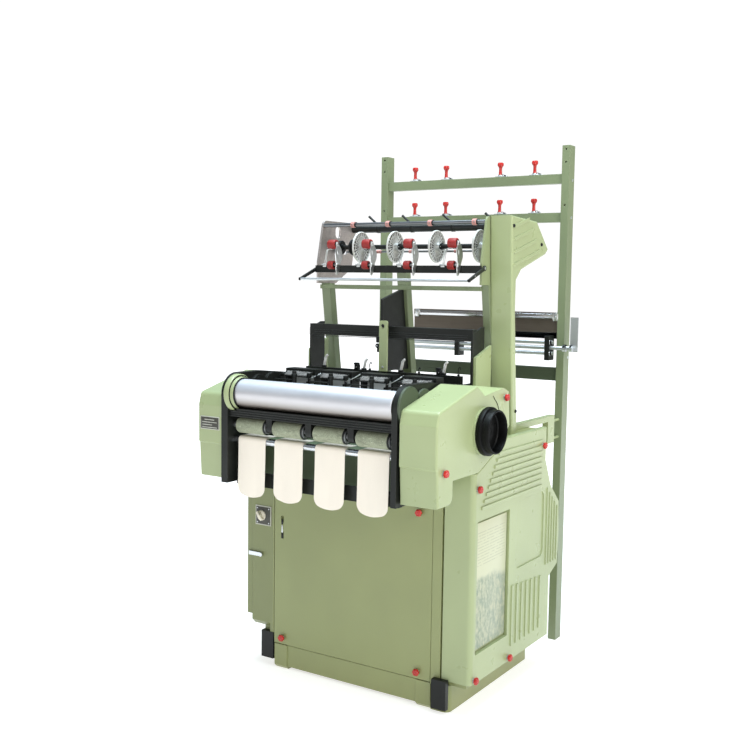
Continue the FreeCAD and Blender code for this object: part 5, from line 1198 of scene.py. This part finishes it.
class LOOM_OT_warp_trim(Operator):
    """Fit the bright strip, bar, caps and clamps of the warp guard"""
    bl_idname = "loom.warp_trim"
    bl_label = "Warp guard trim"

    strip_height = 1.315
    clamps = ((0.3895, 6, 6, 0), (0.4255, 12.5, 6.5, 3), (0.4405, 6.8, 8, 1), (0.4535, 12, 5, 3))
    clamp_line = (0.540, 1.2035)

    def execute(self, context):
        low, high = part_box("warp_guard")
        length = (high.x - low.x) / MM
        strip = Vector((low.x, low.y, self.strip_height))
        build = Build()
        build.slabs(strip, 0, (20, -3, 0, length - 8, 0.6, 19.5, 1.2))
        for left in (5, length - 20):
            build.slabs(strip, 1, (left, -6, -8, left + 24, 1, 24.5, 6))
            build.drum(strip + mm(left + 12, -6.8, 8), 3.5, 3, 2, 6, Y)
        build.slabs(strip, 2, (4, 4, -80.5, length - 4, 16, -55.5, 2))
        for low, high in loose_parts("warp_rods"):
            if high.z - low.z < 0.03:
                line = ((low.y + high.y) / 2, (low.z + high.z) / 2)
                for end in (low.x, high.x):
                    build.drum((end - math.copysign(0.006, end), *line), 10.5, 8, 3, 24, rounding=1)
                build.drum((0.364, *line), 11.8, 4, 0, 24, rounding=1)
        for across, radius, half, material in self.clamps:
            build.collar((across, *self.clamp_line), 0, radius, -half, half, material, 28, cut=(1, 1))
        build.finish("warp_guard_trim", "frame", "steel",
                     "drawn chrome", "cast bright", "steel", "black plastic")
        return {"FINISHED"}


class LOOM_OT_stage(Operator):
    """Set the floor, the lights and the camera"""
    bl_idname = "loom.stage"
    bl_label = "Stage"

    def execute(self, context):
        scene = context.scene
        scene.view_settings.view_transform = "Standard"
        self.floor()
        scene.world = scene.world or bpy.data.worlds.new("studio")
        Sky(scene.world)
        self.lamp("key", (4.4, -1.2, 2.8), (0, 0, 1.0), 2.0, 105, (1.0, 0.98, 0.95))
        self.lamp("top", (0.2, -0.3, 6.0), (0, 0, 1.0), 3.4, 470, (0.83, 1.0, 1.10))
        self.lamp("fill", (1.2, -3.8, 1.6), (0, 0, 0.9), 3.0, 15, (1.0, 0.96, 0.88))
        self.camera(scene)
        return {"FINISHED"}

    def floor(self):
        mesh = bmesh.new()
        bmesh.ops.create_grid(mesh, x_segments=1, y_segments=1, size=20)
        data = bpy.data.meshes.new("floor")
        mesh.to_mesh(data)
        mesh.free()
        finish = Finish("studio floor")
        cloud = finish.noise(0.4, 2)
        along, across, _ = finish.split()
        far = (along * along + across * across).above(3.0, 16.0)
        finish.surface(Base_Color=finish.mix((0.52, 0.52, 0.51), (0.58, 0.58, 0.57), cloud),
                       Roughness=0.9, Emission_Color=finish.mix((0.70, 0.693, 0.679), (1.2, 1.2, 1.2), far),
                       Emission_Strength=1.0, Specular_IOR_Level=0.0)
        data.materials.append(finish.material)
        floor = bpy.data.objects.new("floor", data)
        bpy.context.scene.collection.objects.link(floor)

    def lamp(self, name, place, aim, size, power, colour):
        data = bpy.data.lights.new(name, "AREA")
        data.color = colour
        data.shape = "SQUARE"
        data.size = size
        data.energy = power
        lamp = bpy.data.objects.new(name, data)
        lamp.location = place
        lamp.rotation_euler = (Vector(aim) - Vector(place)).to_track_quat("-Z", "Y").to_euler()
        bpy.context.scene.collection.objects.link(lamp)

    def camera(self, scene):
        """The photograph's view: its place, turn, tilt and roll in degrees."""
        data = bpy.data.cameras.new("view")
        data.sensor_width = 36
        data.sensor_fit = "HORIZONTAL"
        data.lens = scene.loom_sizes.focal
        camera = bpy.data.objects.new("view", data)
        turn, tilt, roll = (math.radians(angle) for angle in (32.982, 5.087, 0.813))
        camera.matrix_world = (
            Matrix.Translation((1.980985, -3.235427, 1.44109))
            @ Matrix.Rotation(turn, 4, "Z")
            @ Matrix.Rotation(math.pi / 2 - tilt, 4, "X")
            @ Matrix.Rotation(roll, 4, "Z"))
        scene.collection.objects.link(camera)
        scene.camera = camera


class LOOM_PT_pieces(Panel):
    """The loom's pieces in the order in which they are made"""
    bl_label = "Power loom"
    bl_space_type = "VIEW_3D"
    bl_region_type = "UI"
    bl_category = "Loom"

    def draw(self, context):
        column = self.layout.column()
        for operator in OPERATORS:
            column.operator(operator.bl_idname)
        for group in (context.scene.loom_sizes, context.scene.loom_colours):
            for name in group.__annotations__:
                column.prop(group, name)


OPERATORS = (
    LOOM_OT_finishes, LOOM_OT_tapes, LOOM_OT_hand_screws, LOOM_OT_creel_knobs, LOOM_OT_handwheel,
    LOOM_OT_take_up, LOOM_OT_breast_tube, LOOM_OT_feed_discs, LOOM_OT_press_rollers,
    LOOM_OT_feeder_trim, LOOM_OT_stop_levers, LOOM_OT_sley_mats, LOOM_OT_harness_trim,
    LOOM_OT_plates, LOOM_OT_casing_trim, LOOM_OT_warp_trim, LOOM_OT_stage,
)
CLASSES = (LoomColours, LoomSizes, *OPERATORS, LOOM_PT_pieces)


def register():
    for cls in CLASSES:
        bpy.utils.register_class(cls)
    bpy.types.Scene.loom_colours = PointerProperty(type=LoomColours)
    bpy.types.Scene.loom_sizes = PointerProperty(type=LoomSizes)


def unregister():
    del bpy.types.Scene.loom_sizes
    del bpy.types.Scene.loom_colours
    for cls in reversed(CLASSES):
        bpy.utils.unregister_class(cls)


def main():
    register()
    for operator in OPERATORS:
        group, name = operator.bl_idname.split(".")
        getattr(getattr(bpy.ops, group), name)()


if __name__ == "__main__":
    main()
